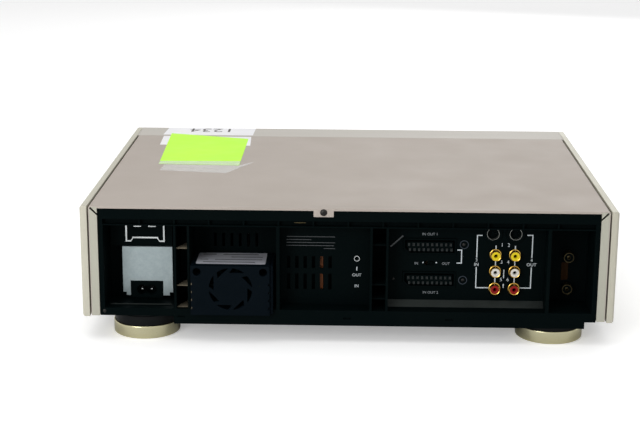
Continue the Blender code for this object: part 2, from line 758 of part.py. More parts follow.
# Front panel with its openings
FASCIA_HALF = PANEL_INNER - GAP
SLOT_HALF = CASSETTE_WIDTH / 2 + SLOT_MARGIN
FLAP_TOP = SLOT_FLOOR + FLAP_HEIGHT
FLAP_AXIS = (0, from_front(FLAP_SETBACK + FLAP_THICKNESS / 2), FLAP_TOP - FLAP_THICKNESS / 2)
DOOR_TOP = DOOR_BOTTOM + DOOR_HEIGHT
DOOR_MIDDLE = (DOOR_LEFT + DOOR_RIGHT) / 2
DOOR_AXIS = (DOOR_MIDDLE, from_front(DOOR_SETBACK + DOOR_THICKNESS / 2), DOOR_BOTTOM + DOOR_THICKNESS / 2)
WINDOW_TOP = WINDOW_BOTTOM + WINDOW_HEIGHT
BUTTONS = {
    "power_button": (POWER_X, POWER_Z, POWER_WIDTH, POWER_HEIGHT),
    "eject_button": (EJECT_X, POWER_Z, EJECT_WIDTH, POWER_HEIGHT),
    "stop_button": (STOP_X, KEY_ROW_Z, KEY_WIDTH, KEY_HEIGHT),
    "play_button": (PLAY_X, KEY_ROW_Z, KEY_WIDTH, KEY_HEIGHT)}

door_x = (DOOR_LEFT - RUNNING_GAP, DOOR_RIGHT + RUNNING_GAP)
door_z = (DOOR_BOTTOM - RUNNING_GAP, DOOR_TOP + RUNNING_GAP)
fascia = block("front_fascia", (-FASCIA_HALF, FASCIA_HALF), (FRONT, from_front(FASCIA_WALL)), (LOW, TOP))
fascia_shapes = [
    block("top", (-FASCIA_HALF, FASCIA_HALF), (FRONT, from_front(FASCIA_DEPTH)),
          (TOP - FASCIA_TOP_WALL, TOP)),
    block("lip", (-FASCIA_HALF, FASCIA_HALF), (FRONT, from_front(FASCIA_LIP)), (LOW, LOW + FASCIA_TOP_WALL)),
    block("recess", (door_x[0] - RECESS_WALL, door_x[1] + RECESS_WALL),
          (FRONT, from_front(RECESS_DEPTH + RECESS_WALL)),
          (door_z[0] - RECESS_WALL, door_z[1] + RECESS_WALL))]
for side in (1, -1):
    fascia_shapes.append(block("end", (side * (FASCIA_HALF - FASCIA_END_WALL), side * FASCIA_HALF),
                               (FRONT, from_front(FASCIA_DEPTH)), (LOW, TOP)))
boss_places = [(side * (FRONT_BOARD_HALF - 3 * BOSS_RADIUS), height) for side in (1, -1)
               for height in (FRONT_BOARD_BOTTOM + 2 * BOSS_RADIUS, FRONT_BOARD_WING_TOP - 2 * BOSS_RADIUS)]
boss_places += [(side * (FRONT_BOARD_WING_INNER + 2 * BOSS_RADIUS), FRONT_BOARD_WING_TOP - 2 * BOSS_RADIUS)
                for side in (1, -1)]
fascia_shapes += [rod("boss", BOSS_RADIUS, from_front(FASCIA_WALL / 2), from_front(FRONT_BOARD_DEPTH) - GAP,
                      place, "Y") for place in boss_places]
join(fascia, *fascia_shapes)

through = (FRONT - OVERRUN, from_front(FASCIA_WALL) + OVERRUN)
fascia_cuts = [
    block("recess", door_x, (FRONT - OVERRUN, from_front(RECESS_DEPTH)), door_z),
    block("slot", (-SLOT_HALF, SLOT_HALF), through, (SLOT_FLOOR - RUNNING_GAP, FLAP_TOP + RUNNING_GAP)),
    block("window", (-WINDOW_WIDTH / 2 - GAP, WINDOW_WIDTH / 2 + GAP),
          (FRONT - OVERRUN, from_front(WINDOW_SETBACK + WINDOW_THICKNESS + GAP)),
          (WINDOW_BOTTOM - GAP, WINDOW_TOP + GAP)),
    block("view", (-WINDOW_WIDTH / 2 + WINDOW_LEDGE, WINDOW_WIDTH / 2 - WINDOW_LEDGE), through,
          (WINDOW_BOTTOM + WINDOW_LEDGE, WINDOW_TOP - WINDOW_LEDGE)),
    rod("shuttle", SHUTTLE_RADIUS + RUNNING_GAP, *through, (JOG_X, JOG_Z), "Y", FINE)]
for side in (1, -1):
    fascia_cuts.append(rod("flap_pin", FLAP_PIN_RADIUS + GAP, side * (SLOT_HALF - OVERRUN),
                           side * (SLOT_HALF + FLAP_PIN_LENGTH + GAP), FLAP_AXIS[1:], "X"))
for x, side in ((door_x[0], -1), (door_x[1], 1)):
    fascia_cuts.append(rod("door_pin", DOOR_PIN_RADIUS + GAP, x - side * OVERRUN,
                           x + side * (DOOR_PIN_LENGTH + GAP), DOOR_AXIS[1:], "X"))
for x, z, width, height in BUTTONS.values():
    fascia_cuts.append(block("button", (x - width / 2 - RUNNING_GAP, x + width / 2 + RUNNING_GAP), through,
                             (z - height / 2 - RUNNING_GAP, z + height / 2 + RUNNING_GAP)))
cut(fascia, *fascia_cuts)
give_finish(fascia, CHAMPAGNE_PALE)


def leaf(name, x, pivot, thickness, far, pin_radius, pin_length):
    """A flap whose pivoted edge is rounded about its axis, with a pin at each end."""
    outward = math.copysign(math.pi / 2, pivot[2] - far)
    steps = 6
    outline = [(pivot[1] - thickness / 2, far)]
    for step in range(steps + 1):
        turn = math.pi - math.pi * step / steps
        outline.append((pivot[1] + thickness / 2 * math.cos(turn),
                        pivot[2] + math.copysign(thickness / 2 * math.sin(turn), outward)))
    outline.append((pivot[1] + thickness / 2, far))
    item = extruded(name, outline, x[0], x[1], "X")
    join(item, *[rod("pin", pin_radius, end - side * pin_length, end + side * pin_length, pivot[1:], "X")
                 for end, side in ((x[0], -1), (x[1], 1))])
    set_origin(item, pivot)
    return item


flap = leaf("cassette_flap", (-SLOT_HALF + RUNNING_GAP, SLOT_HALF - RUNNING_GAP), FLAP_AXIS, FLAP_THICKNESS,
            SLOT_FLOOR, FLAP_PIN_RADIUS, FLAP_PIN_LENGTH)
give_finish(flap, CHAMPAGNE_PALE)
door = leaf("control_door", (DOOR_LEFT, DOOR_RIGHT), DOOR_AXIS, DOOR_THICKNESS, DOOR_TOP,
            DOOR_PIN_RADIUS, DOOR_PIN_LENGTH)
give_finish(door, CHAMPAGNE_PALE)

window = block("display_window", (-WINDOW_WIDTH / 2, WINDOW_WIDTH / 2),
               (from_front(WINDOW_SETBACK), from_front(WINDOW_SETBACK + WINDOW_THICKNESS)),
               (WINDOW_BOTTOM, WINDOW_TOP))
give_finish(window, DARK_WINDOW)

# Front board: display tube in the middle, and the encoder that carries both dials
BOARD_FACE = from_front(FRONT_BOARD_DEPTH)
DIAL_BACK = JOG_DISC - JOG_PROUD + RUNNING_GAP
board = extruded("front_board", [
    (-FRONT_BOARD_HALF, FRONT_BOARD_BOTTOM), (FRONT_BOARD_HALF, FRONT_BOARD_BOTTOM),
    (FRONT_BOARD_HALF, FRONT_BOARD_WING_TOP), (FRONT_BOARD_WING_INNER, FRONT_BOARD_WING_TOP),
    (FRONT_BOARD_WING_INNER, FRONT_BOARD_MIDDLE_TOP), (-FRONT_BOARD_WING_INNER, FRONT_BOARD_MIDDLE_TOP),
    (-FRONT_BOARD_WING_INNER, FRONT_BOARD_WING_TOP), (-FRONT_BOARD_HALF, FRONT_BOARD_WING_TOP)],
    BOARD_FACE, BOARD_FACE + BOARD, "Y")
tube_z = (WINDOW_BOTTOM + WINDOW_TOP) / 2
join(board, block("tube", (-DISPLAY_TUBE_WIDTH / 2, DISPLAY_TUBE_WIDTH / 2),
                  (BOARD_FACE - DISPLAY_TUBE_DEPTH, BOARD_FACE + BOARD / 2),
                  (tube_z - DISPLAY_TUBE_HEIGHT / 2, tube_z + DISPLAY_TUBE_HEIGHT / 2)),
     rod("encoder", ENCODER_RADIUS, from_front(DIAL_BACK), BOARD_FACE + BOARD / 2, (JOG_X, JOG_Z), "Y"))
cut(board, rod("bore", JOG_SHAFT_RADIUS + RUNNING_GAP, FRONT, BOARD_FACE + BOARD + OVERRUN,
               (JOG_X, JOG_Z), "Y"))
give_finish(board, GREEN_BOARD)

jog = turned("jog_dial", [
    (0, -JOG_PROUD + JOG_DISH), (JOG_RADIUS - 2 * JOG_DISH, -JOG_PROUD + JOG_DISH),
    (JOG_RADIUS - JOG_DISH, -JOG_PROUD), (JOG_RADIUS, JOG_DISH - JOG_PROUD),
    (JOG_RADIUS, JOG_DISC - JOG_PROUD), (JOG_SHAFT_RADIUS, JOG_DISC - JOG_PROUD),
    (JOG_SHAFT_RADIUS, FRONT_BOARD_DEPTH), (0, FRONT_BOARD_DEPTH)],
    (JOG_X, FRONT, JOG_Z), "Y", FINE)
dimple = turned("dimple", [(0, -2 * JOG_PROUD), (JOG_DIMPLE_RADIUS, -2 * JOG_PROUD),
                           (JOG_DIMPLE_RADIUS, 2 * JOG_DISH - JOG_PROUD), (0, 2 * JOG_DISH - JOG_PROUD)],
                (JOG_X, FRONT, JOG_Z + JOG_RADIUS / 2), "Y", SMALL)
cut(jog, dimple)
shade_round(jog)
set_origin(jog, (JOG_X, FRONT, JOG_Z))
give_finish(jog, ALUMINIUM)

RING_INNER = JOG_RADIUS + RUNNING_GAP
ring = turned("shuttle_ring", [
    (RING_INNER, -SHUTTLE_PROUD), (SHUTTLE_RADIUS - JOG_DISH, -SHUTTLE_PROUD),
    (SHUTTLE_RADIUS, JOG_DISH - SHUTTLE_PROUD), (SHUTTLE_RADIUS, SHUTTLE_DEPTH),
    (ENCODER_RADIUS + RUNNING_GAP, SHUTTLE_DEPTH), (ENCODER_RADIUS + RUNNING_GAP, DIAL_BACK),
    (RING_INNER, DIAL_BACK)], (JOG_X, FRONT, JOG_Z), "Y", FINE)
join(ring, block("nub", (JOG_X - SHUTTLE_NUB_WIDTH / 2, JOG_X + SHUTTLE_NUB_WIDTH / 2),
                 (from_front(-SHUTTLE_PROUD - SHUTTLE_NUB_HEIGHT), from_front(-SHUTTLE_PROUD / 2)),
                 (JOG_Z + RING_INNER + SHUTTLE_NUB_HEIGHT, JOG_Z + RING_INNER + SHUTTLE_NUB_LENGTH)))
shade_round(ring)
set_origin(ring, (JOG_X, FRONT, JOG_Z))
give_finish(ring, CHAMPAGNE)

for name, (x, z, width, height) in BUTTONS.items():
    button = block(name, (x - width / 2, x + width / 2),
                   (from_front(-BUTTON_PROUD), from_front(FASCIA_WALL + BUTTON_PROUD)),
                   (z - height / 2, z + height / 2))
    join(button, rod("stem", BUTTON_STEM_RADIUS, from_front(FASCIA_WALL / 2),
                     BOARD_FACE - BUTTON_TRAVEL - GAP, (x, z), "Y"))
    round_edges(button, lambda end: end.y < FRONT, BUTTON_EDGE, 2)
    give_finish(button, CHAMPAGNE)

# Rear frame: one moulding with five bays
FRAME_TOP = TOP - SHEET - GAP
GROOVE_TOP = FRAME_TOP - FRAME_BAND
GROOVE_BOTTOM = GROOVE_TOP - FRAME_GROOVE
CEILING = GROOVE_BOTTOM - FRAME_SHELF
FLOOR = LOW + BAY_FLOOR_HEIGHT
FRAME_BACK = from_rear(DEEP_BAY + FRAME_WALL)
BAY_END = FRAME_HALF - FRAME_END
DEEP = from_rear(DEEP_BAY)
SHALLOW = from_rear(SHALLOW_BAY)
PANEL_BACK = SHALLOW - FRAME_WALL
OUTSIDE = REAR + OVERRUN
frame = block("rear_frame", (-FRAME_HALF, FRAME_HALF), (FRAME_BACK, FRAME_FACE),
              (FLOOR - FRAME_WALL, FRAME_TOP))
band_y = (FRAME_FACE - FRAME_WALL, FRAME_FACE)
join(frame,
     block("band", (BAND_DROP_LEFT, BAND_DROP_RIGHT), band_y, (LOW - BAND_DROP, FLOOR)),
     block("band_end", (-FRAME_HALF, 0), band_y, (LOW, FLOOR)),
     block("band_end", (0, FRAME_HALF), band_y, (BASE_BOTTOM, FLOOR)))

bays = [(MAINS_BAY_LEFT, BAY_END, DEEP), (FAN_BAY_LEFT, FAN_BAY_RIGHT, DEEP),
        (VENT_BAY_LEFT, VENT_BAY_RIGHT, SHALLOW), (JACK_BAY_LEFT, JACK_BAY_RIGHT, SHALLOW),
        (-BAY_END, AERIAL_BAY_RIGHT, DEEP),
        (FAN_BAY_RIGHT + FRAME_WALL, MAINS_BAY_LEFT - FRAME_WALL, DEEP),
        (JACK_BAY_RIGHT + FRAME_WALL, VENT_BAY_LEFT - FRAME_WALL, DEEP)]
frame_cuts = [block("bay", (left, right), (back, OUTSIDE), (FLOOR, CEILING)) for left, right, back in bays]
frame_cuts += [block("hollow", (left, right), (FRAME_BACK - OVERRUN, PANEL_BACK), (FLOOR, CEILING))
               for left, right in ((VENT_BAY_LEFT, VENT_BAY_RIGHT), (JACK_BAY_LEFT, JACK_BAY_RIGHT))]
frame_cuts += [
    block("hollow", (-BAY_END, BAY_END),
          (FRAME_BACK - OVERRUN, FRAME_FACE - FRAME_GROOVE_DEPTH - FRAME_WALL),
          (CEILING + FRAME_WALL, FRAME_TOP - FRAME_WALL)),
    block("groove", (-BAY_END, BAY_END), (FRAME_FACE - FRAME_GROOVE_DEPTH, OUTSIDE),
          (GROOVE_BOTTOM, GROOVE_TOP)),
    block("duct", (FAN_LEFT + 2 * FAN_CORNER, FAN_RIGHT - 2 * FAN_CORNER),
          (FRAME_BACK - OVERRUN, DEEP + OVERRUN), (FLOOR + FAN_CORNER, LOW + FAN_TOP - FAN_CORNER)),
    rod("screw", SCREW_RADIUS + GAP, REAR - SCREW_LENGTH - OVERRUN, OUTSIDE, (COVER_TAB_X, SCREW_Z), "Y")]
frame_cuts += [block("notch", (x - BAND_NOTCH_WIDTH / 2, x + BAND_NOTCH_WIDTH / 2),
                     (band_y[0] - OVERRUN, OUTSIDE), (LOW, LOW + BAND_NOTCH_HEIGHT)) for x in BAND_NOTCH_X]
wall_y = (FRAME_BACK - OVERRUN, DEEP + OVERRUN)
panel_y = (PANEL_BACK - OVERRUN, SHALLOW + OVERRUN)
frame_cuts += [block("slot", (x - SLOT_WIDTH / 2, x + SLOT_WIDTH / 2), wall_y,
                     (LOW + FAN_SLOT_BOTTOM, LOW + FAN_SLOT_BOTTOM + FAN_SLOT_HEIGHT))
               for x in lattice(SLOT_COUNT, SLOT_PITCH, FAN_SLOT_X)]
frame_cuts += [block("vent", (x - VENT_WIDTH / 2, x + VENT_WIDTH / 2), panel_y,
                     (LOW + low, LOW + low + height))
               for x in lattice(SLOT_COUNT, VENT_PITCH, VENT_X)
               for low, height in ((VENT_LOW_BOTTOM, VENT_LOW_HEIGHT), (VENT_HIGH_BOTTOM, VENT_HIGH_HEIGHT))]


def scart_outline(bottom, inset):
    """A socket's face with one slanted corner, drawn in by an inset."""
    left = SCART_X - SCART_WIDTH / 2 + inset
    right = SCART_X + SCART_WIDTH / 2 - inset
    low = LOW + bottom + inset
    high = LOW + bottom + SCART_HEIGHT - inset
    corner = SCART_CORNER - inset / 2
    return [(left, low), (right - corner, low), (right, low + corner), (right, high), (left, high)]


INLET_X = (INLET_LEFT - GAP, INLET_RIGHT + GAP)
INLET_TOP = FLOOR + GAP + INLET_HEIGHT
frame_cuts += [extruded("scart", scart_outline(bottom, -GAP), *panel_y, "Y")
               for bottom in (SCART_LOW_BOTTOM, SCART_HIGH_BOTTOM)]
frame_cuts += [rod("rca", RCA_FLANGE_RADIUS + GAP, *panel_y, (x, LOW + z), "Y", SMALL)
               for x in RCA_COLUMN_X for z in RCA_ROW_Z]
frame_cuts += [rod("svideo", SVIDEO_RADIUS + GAP, *panel_y, (x, LOW + SVIDEO_Z), "Y", ROUND)
               for x in SVIDEO_COLUMN_X]
frame_cuts += [
    rod("control", CONTROL_RADIUS + GAP, *panel_y, (CONTROL_X, LOW + CONTROL_Z), "Y"),
    block("switch", (SWITCH_X - (SWITCH_KNOB_WIDTH + SWITCH_TRAVEL) / 2 - RUNNING_GAP,
                     SWITCH_X + (SWITCH_KNOB_WIDTH + SWITCH_TRAVEL) / 2 + RUNNING_GAP), panel_y,
          (LOW + SWITCH_Z - SWITCH_KNOB_HEIGHT / 2 - RUNNING_GAP,
           LOW + SWITCH_Z + SWITCH_KNOB_HEIGHT / 2 + RUNNING_GAP)),
    block("inlet", INLET_X, wall_y, (FLOOR + GAP, INLET_TOP + GAP))]
frame_cuts += [rod("coax", COAX_RADIUS + RUNNING_GAP, *wall_y, (AERIAL_X, LOW + z), "Y")
               for z in AERIAL_ROWS_Z]
cut(frame, *frame_cuts)

frame_shapes = [block("rib", (x - GROOVE_RIB / 2, x + GROOVE_RIB / 2),
                      (FRAME_FACE - FRAME_GROOVE_DEPTH - FRAME_WALL / 2, FRAME_FACE - FRAME_SHELF),
                      (GROOVE_BOTTOM - FRAME_SHELF / 2, GROOVE_TOP + FRAME_WALL / 2))
                for x in lattice(GROOVE_RIB_COUNT, GROOVE_RIB_PITCH, 0)]
for (left, right, back), heights in ((bays[5], FAN_FIN_HEIGHTS), (bays[6], JACK_FIN_HEIGHTS)):
    frame_shapes += [block("fin", (left - FRAME_WALL / 2, right + FRAME_WALL / 2),
                           (back - FRAME_WALL / 2, from_rear(FIN_SETBACK)),
                           (LOW + height - FIN / 2, LOW + height + FIN / 2)) for height in heights]
frame_shapes.append(block("clip_block", (CLIP_BLOCK_LEFT, CLIP_BLOCK_RIGHT),
                          (DEEP - FRAME_WALL / 2, from_rear(CLIP_BLOCK_DEPTH)),
                          (LOW + CLIP_BLOCK_BOTTOM, LOW + CLIP_BLOCK_TOP)))
join(frame, *frame_shapes)
give_finish(frame, BLACK_PLASTIC)

# Mains bay: inlet, shield and its wire clip
inlet_z = (FLOOR + 2 * GAP, INLET_TOP)
inlet = block("mains_inlet", (INLET_LEFT, INLET_RIGHT),
              (from_rear(INLET_DEPTH + INLET_LENGTH), from_rear(INLET_DEPTH)), inlet_z)
inlet_middle = ((INLET_LEFT + INLET_RIGHT) / 2, sum(inlet_z) / 2)
hole_y = (from_rear(INLET_DEPTH + INLET_HOLE_DEPTH), from_rear(INLET_DEPTH) + OVERRUN)
pin_places = [(inlet_middle[0] + side * INLET_PIN_PITCH / 2, inlet_middle[1]) for side in (1, -1)]
cut(inlet, *[rod("hole", INLET_HOLE_RADIUS, *hole_y, place, "Y", ROUND) for place in pin_places],
    block("waist", (pin_places[1][0], pin_places[0][0]), hole_y,
          (inlet_middle[1] - INLET_HOLE_RADIUS * INLET_WAIST_SHARE,
           inlet_middle[1] + INLET_HOLE_RADIUS * INLET_WAIST_SHARE)))
join(inlet, *[rod("pin", INLET_PIN_RADIUS, hole_y[0] - INLET_PIN_RADIUS,
                  from_rear(INLET_DEPTH + INLET_PIN_SETBACK), place, "Y") for place in pin_places])
give_finish(inlet, BLACK_PLASTIC)

shield_y = (from_rear(SHIELD_DEPTH + SHEET), from_rear(SHIELD_DEPTH))
shield = block("power_supply_shield", (SHIELD_LEFT, SHIELD_RIGHT), shield_y,
               (LOW + SHIELD_BOTTOM, LOW + SHIELD_TOP))
join(shield, block("return", (SHIELD_LEFT, SHIELD_RIGHT), (DEEP + GAP, shield_y[1]),
                   (LOW + SHIELD_TOP - SHEET, LOW + SHIELD_TOP)))
cut(shield, block("inlet", INLET_X, (DEEP, REAR), (LOW, INLET_TOP + GAP)),
    block("notch", (SHIELD_LEFT - OVERRUN, SHIELD_LEFT + SHIELD_NOTCH), (DEEP, REAR),
          (LOW, LOW + SHIELD_BOTTOM + SHIELD_NOTCH)),
    block("notch", (SHIELD_RIGHT - SHIELD_NOTCH, SHIELD_RIGHT + OVERRUN), (DEEP, REAR),
          (LOW, LOW + SHIELD_BOTTOM + SHIELD_NOTCH)))
give_finish(shield, PLATE_STEEL)

clip_y = (from_rear(CLIP_BLOCK_DEPTH) + GAP, from_rear(CLIP_BLOCK_DEPTH) + GAP + CLIP_WIRE)
clip = block("shield_clip", (CLIP_LEFT, CLIP_RIGHT), clip_y, (LOW + CLIP_BOTTOM, LOW + CLIP_TOP))
cut(clip, block("inside", (CLIP_LEFT + CLIP_WIRE, CLIP_RIGHT - CLIP_WIRE), (FRAME_BACK, REAR),
                (LOW + CLIP_BOTTOM + CLIP_WIRE, LOW + CLIP_TOP - CLIP_WIRE)))
give_finish(clip, BRIGHT_STEEL)

# Fan module: a box with a swirl grille, and the rotor behind it
FAN_CENTRE = (FAN_X, LOW + FAN_Z)
FAN_FRONT = from_rear(-FAN_PROUD)
FAN_BACK = from_rear(FAN_LENGTH)
GRILLE_BACK = FAN_FRONT - FAN_FACE
CHAMBER_BACK = GRILLE_BACK - FAN_BORE_LENGTH
fan_x = (FAN_LEFT, FAN_RIGHT)
fan = block("fan_housing", fan_x, (FAN_BACK, FAN_FRONT), (FLOOR + GAP, LOW + FAN_TOP))
join(fan, block("bezel", fan_x, (FRAME_FACE + GAP, FAN_FRONT), (LOW + FAN_BEZEL_BOTTOM, LOW + FAN_TOP)))
swirls = []
for index in range(FAN_SWIRL_COUNT):
    start = math.tau * index / FAN_SWIRL_COUNT
    span = math.tau / FAN_SWIRL_COUNT * FAN_SWIRL_SPAN_SHARE
    polar = [(FAN_SWIRL_INNER, start), (FAN_SWIRL_OUTER, start + FAN_SWIRL_TWIST),
             (FAN_SWIRL_OUTER, start + FAN_SWIRL_TWIST + span), (FAN_SWIRL_INNER, start + span / 2)]
    outline = [(FAN_CENTRE[0] + radius * math.cos(turn), FAN_CENTRE[1] + radius * math.sin(turn))
               for radius, turn in polar]
    swirls.append(extruded("swirl", outline, GRILLE_BACK - OVERRUN, FAN_FRONT + OVERRUN, "Y"))
corner_z = LOW + FAN_TOP - FAN_SCREW_INSET
cut(fan, rod("chamber", FAN_BORE_RADIUS, CHAMBER_BACK, GRILLE_BACK, FAN_CENTRE, "Y", FINE),
    rod("spider", FAN_BORE_RADIUS - FAN_SPIDER, CHAMBER_BACK - FAN_SPIDER - OVERRUN, CHAMBER_BACK + OVERRUN,
        FAN_CENTRE, "Y", ROUND),
    block("duct", (FAN_LEFT + FAN_SPIDER, FAN_RIGHT - FAN_SPIDER),
          (FAN_BACK - OVERRUN, CHAMBER_BACK - FAN_SPIDER),
          (FLOOR + GAP + FAN_SPIDER, LOW + FAN_TOP - FAN_SPIDER)),
    *[rod("screw", FAN_SCREW_RADIUS, FAN_FRONT - FAN_SCREW_DEPTH, FAN_FRONT + OVERRUN, (x, corner_z), "Y")
      for x in (FAN_LEFT + FAN_SCREW_INSET, FAN_RIGHT - FAN_SCREW_INSET)], *swirls)
HUB_FRONT = GRILLE_BACK - 2 * RUNNING_GAP
HUB_BACK = HUB_FRONT - FAN_HUB_LENGTH
spider_y = (CHAMBER_BACK - FAN_SPIDER, CHAMBER_BACK)
join(fan, block("arm", (FAN_X - FAN_BORE_RADIUS, FAN_X + FAN_BORE_RADIUS), spider_y,
                (FAN_CENTRE[1] - FAN_SPIDER / 2, FAN_CENTRE[1] + FAN_SPIDER / 2)),
     block("arm", (FAN_X - FAN_SPIDER / 2, FAN_X + FAN_SPIDER / 2), spider_y,
           (FAN_CENTRE[1] - FAN_BORE_RADIUS, FAN_CENTRE[1] + FAN_BORE_RADIUS)),
     rod("boss", FAN_BOSS_RADIUS, spider_y[0], HUB_BACK - RUNNING_GAP, FAN_CENTRE, "Y"))
cut(fan, rod("bore", FAN_SHAFT_RADIUS + RUNNING_GAP, spider_y[0] - OVERRUN, HUB_BACK + OVERRUN,
             FAN_CENTRE, "Y"))
give_finish(fan, BLACK_PLASTIC)

rotor = rod("fan_rotor", FAN_HUB_RADIUS, HUB_BACK, HUB_FRONT, FAN_CENTRE, "Y", ROUND)
rotor_shapes = [rod("shaft", FAN_SHAFT_RADIUS, CHAMBER_BACK, HUB_BACK + FAN_HUB_LENGTH / 2, FAN_CENTRE, "Y")]
for index in range(FAN_BLADE_COUNT):
    blade = block("blade", (FAN_HUB_RADIUS / 2, FAN_BLADE_RADIUS),
                  (-FAN_BLADE_LENGTH / 2, FAN_BLADE_LENGTH / 2), (-FAN_BLADE / 2, FAN_BLADE / 2))
    around = Matrix.Rotation(math.tau * index / FAN_BLADE_COUNT, 4, "Y")
    turn = around @ Matrix.Rotation(FAN_BLADE_PITCH, 4, "X")
    middle = Vector((FAN_X, (HUB_FRONT + HUB_BACK) / 2, FAN_CENTRE[1]))
    blade.data.transform(Matrix.Translation(middle) @ turn)
    rotor_shapes.append(blade)
join(rotor, *rotor_shapes)
shade_round(rotor)
set_origin(rotor, (FAN_X, (HUB_FRONT + HUB_BACK) / 2, FAN_CENTRE[1]))
give_finish(rotor, BLACK_PLASTIC)

# Sockets, each body held between the panel and the jack board
socket_y = (PANEL_BACK - GAP - SOCKET_BODY, PANEL_BACK - GAP)
for name, bottom in (("scart_socket_lower", SCART_LOW_BOTTOM), ("scart_socket_upper", SCART_HIGH_BOTTOM)):
    face = SHALLOW + SCART_PROUD
    socket = extruded(name, scart_outline(bottom, 0), socket_y[0], face, "Y")
    cut(socket, extruded("groove", scart_outline(bottom, SCART_RIM), face - SCART_GROOVE_DEPTH,
                         face + OVERRUN, "Y"))
    join(socket, extruded("island", scart_outline(bottom, SCART_RIM + SCART_GROOVE),
                          face - SCART_GROOVE_DEPTH - SCART_RIM, face - SCART_ISLAND_SETBACK, "Y"))
    give_finish(socket, BLACK_PLASTIC)

av_margin = RCA_FLANGE_RADIUS + BLOCK_MARGIN
av = block("av_jack_block", (min(RCA_COLUMN_X) - av_margin, max(RCA_COLUMN_X) + av_margin), socket_y,
           (LOW + RCA_ROW_Z[0] - av_margin, LOW + RCA_ROW_Z[-1] + av_margin))
rca_places = [(x, LOW + z) for x in RCA_COLUMN_X for z in RCA_ROW_Z]
join(av, *[rod("shell", RCA_RADIUS, socket_y[1] - RCA_FLANGE, SHALLOW + RCA_PROUD, place, "Y", SMALL)
           for place in rca_places],
     *[rod("flange", RCA_FLANGE_RADIUS, socket_y[1] - RCA_FLANGE, SHALLOW + RCA_FLANGE, place, "Y", SMALL)
       for place in rca_places])
cut(av, *[rod("bore", RCA_BORE_RADIUS, SHALLOW, SHALLOW + RCA_PROUD + OVERRUN, place, "Y", SMALL)
          for place in rca_places])
shade_round(av)
give_finish(av, BRASS)

svideo_margin = SVIDEO_RADIUS + BLOCK_MARGIN
svideo = block("s_video_block", (min(SVIDEO_COLUMN_X) - svideo_margin, max(SVIDEO_COLUMN_X) + svideo_margin),
               socket_y, (LOW + SVIDEO_Z - SVIDEO_RADIUS - BLOCK_MARGIN / 2, LOW + SVIDEO_Z + SVIDEO_RADIUS))
svideo_face = SHALLOW + SVIDEO_PROUD
svideo_places = [(x, LOW + SVIDEO_Z) for x in SVIDEO_COLUMN_X]
join(svideo, *[rod("shell", SVIDEO_RADIUS, socket_y[1] - SVIDEO_PROUD, svideo_face, place, "Y", ROUND)
               for place in svideo_places])
cut(svideo, *[rod("bore", SVIDEO_BORE_RADIUS, svideo_face - SVIDEO_BORE_DEPTH, svideo_face + OVERRUN,
                  place, "Y", ROUND) for place in svideo_places])
join(svideo, *[rod("core", SVIDEO_CORE_RADIUS, svideo_face - SVIDEO_BORE_DEPTH - SVIDEO_PROUD,
                   svideo_face - SVIDEO_PROUD, place, "Y", ROUND) for place in svideo_places])
shade_round(svideo)
give_finish(svideo, BLACK_PLASTIC)

control_z = LOW + CONTROL_Z
control = block("control_jack",
                (CONTROL_X - CONTROL_BODY_WIDTH / 2, CONTROL_X + CONTROL_BODY_WIDTH / 2), socket_y,
                (control_z - CONTROL_BODY / 2, control_z + CONTROL_BODY / 2))
join(control, rod("ring", CONTROL_RADIUS, socket_y[1] - CONTROL_PROUD, SHALLOW + CONTROL_PROUD,
                  (CONTROL_X, control_z), "Y"))
cut(control, rod("bore", CONTROL_BORE_RADIUS, socket_y[0] + CONTROL_PROUD, SHALLOW + OVERRUN,
                 (CONTROL_X, control_z), "Y"))
give_finish(control, STEEL)

SWITCH_REST = SWITCH_X - SWITCH_TRAVEL / 2
switch_z = LOW + SWITCH_Z
foot_y = (PANEL_BACK - GAP - SWITCH_FOOT, PANEL_BACK - GAP)
knob = block("output_switch_knob",
             (SWITCH_REST - SWITCH_KNOB_WIDTH / 2, SWITCH_REST + SWITCH_KNOB_WIDTH / 2),
             (foot_y[0], SHALLOW + SWITCH_PROUD),
             (switch_z - SWITCH_KNOB_HEIGHT / 2, switch_z + SWITCH_KNOB_HEIGHT / 2))
reach = SWITCH_KNOB_WIDTH / 2 + SWITCH_FOOT
join(knob, block("foot", (SWITCH_REST - reach, SWITCH_REST + reach), foot_y,
                 (switch_z - reach, switch_z + reach)))
set_origin(knob, (SWITCH_REST, PANEL_BACK, switch_z))
give_finish(knob, BLACK_PLASTIC)

jack_back = socket_y[0] - GAP
jack_board = block("jack_board", (JACK_BAY_LEFT + GAP, JACK_BAY_RIGHT - GAP), (jack_back - BOARD, jack_back),
                   (FLOOR + GAP, CEILING - GAP))
give_finish(jack_board, BROWN_BOARD)

# Aerial unit: a screened can with two coaxial sockets through the frame
can_y = (FRAME_BACK - GAP - AERIAL_CAN_LENGTH, FRAME_BACK - GAP)
aerial = block("aerial_unit", (AERIAL_X - AERIAL_CAN_WIDTH / 2, AERIAL_X + AERIAL_CAN_WIDTH / 2), can_y,
               (BASE_TOP + GAP, LOW + AERIAL_CAN_TOP))
coax_places = [(AERIAL_X, LOW + z) for z in AERIAL_ROWS_Z]
join(aerial, *[rod("coax", COAX_RADIUS, can_y[1] - COAX_RADIUS, DEEP + COAX_LENGTH, place, "Y", ROUND)
               for place in coax_places])
cut(aerial, *[rod("bore", COAX_BORE_RADIUS, DEEP, DEEP + COAX_LENGTH + OVERRUN, place, "Y")
              for place in coax_places])
shade_round(aerial)
give_finish(aerial, PLATE_STEEL)

# Tape deck
def deck(x, y):
    """A place on the deck from its distance behind the front face."""
    return (x, from_front(y))


def bored(name, profile, place, sides=ROUND):
    """A ring about an upright axis, from (radius, height) points."""
    return turned(name, profile, (*place, 0), "Z", sides)


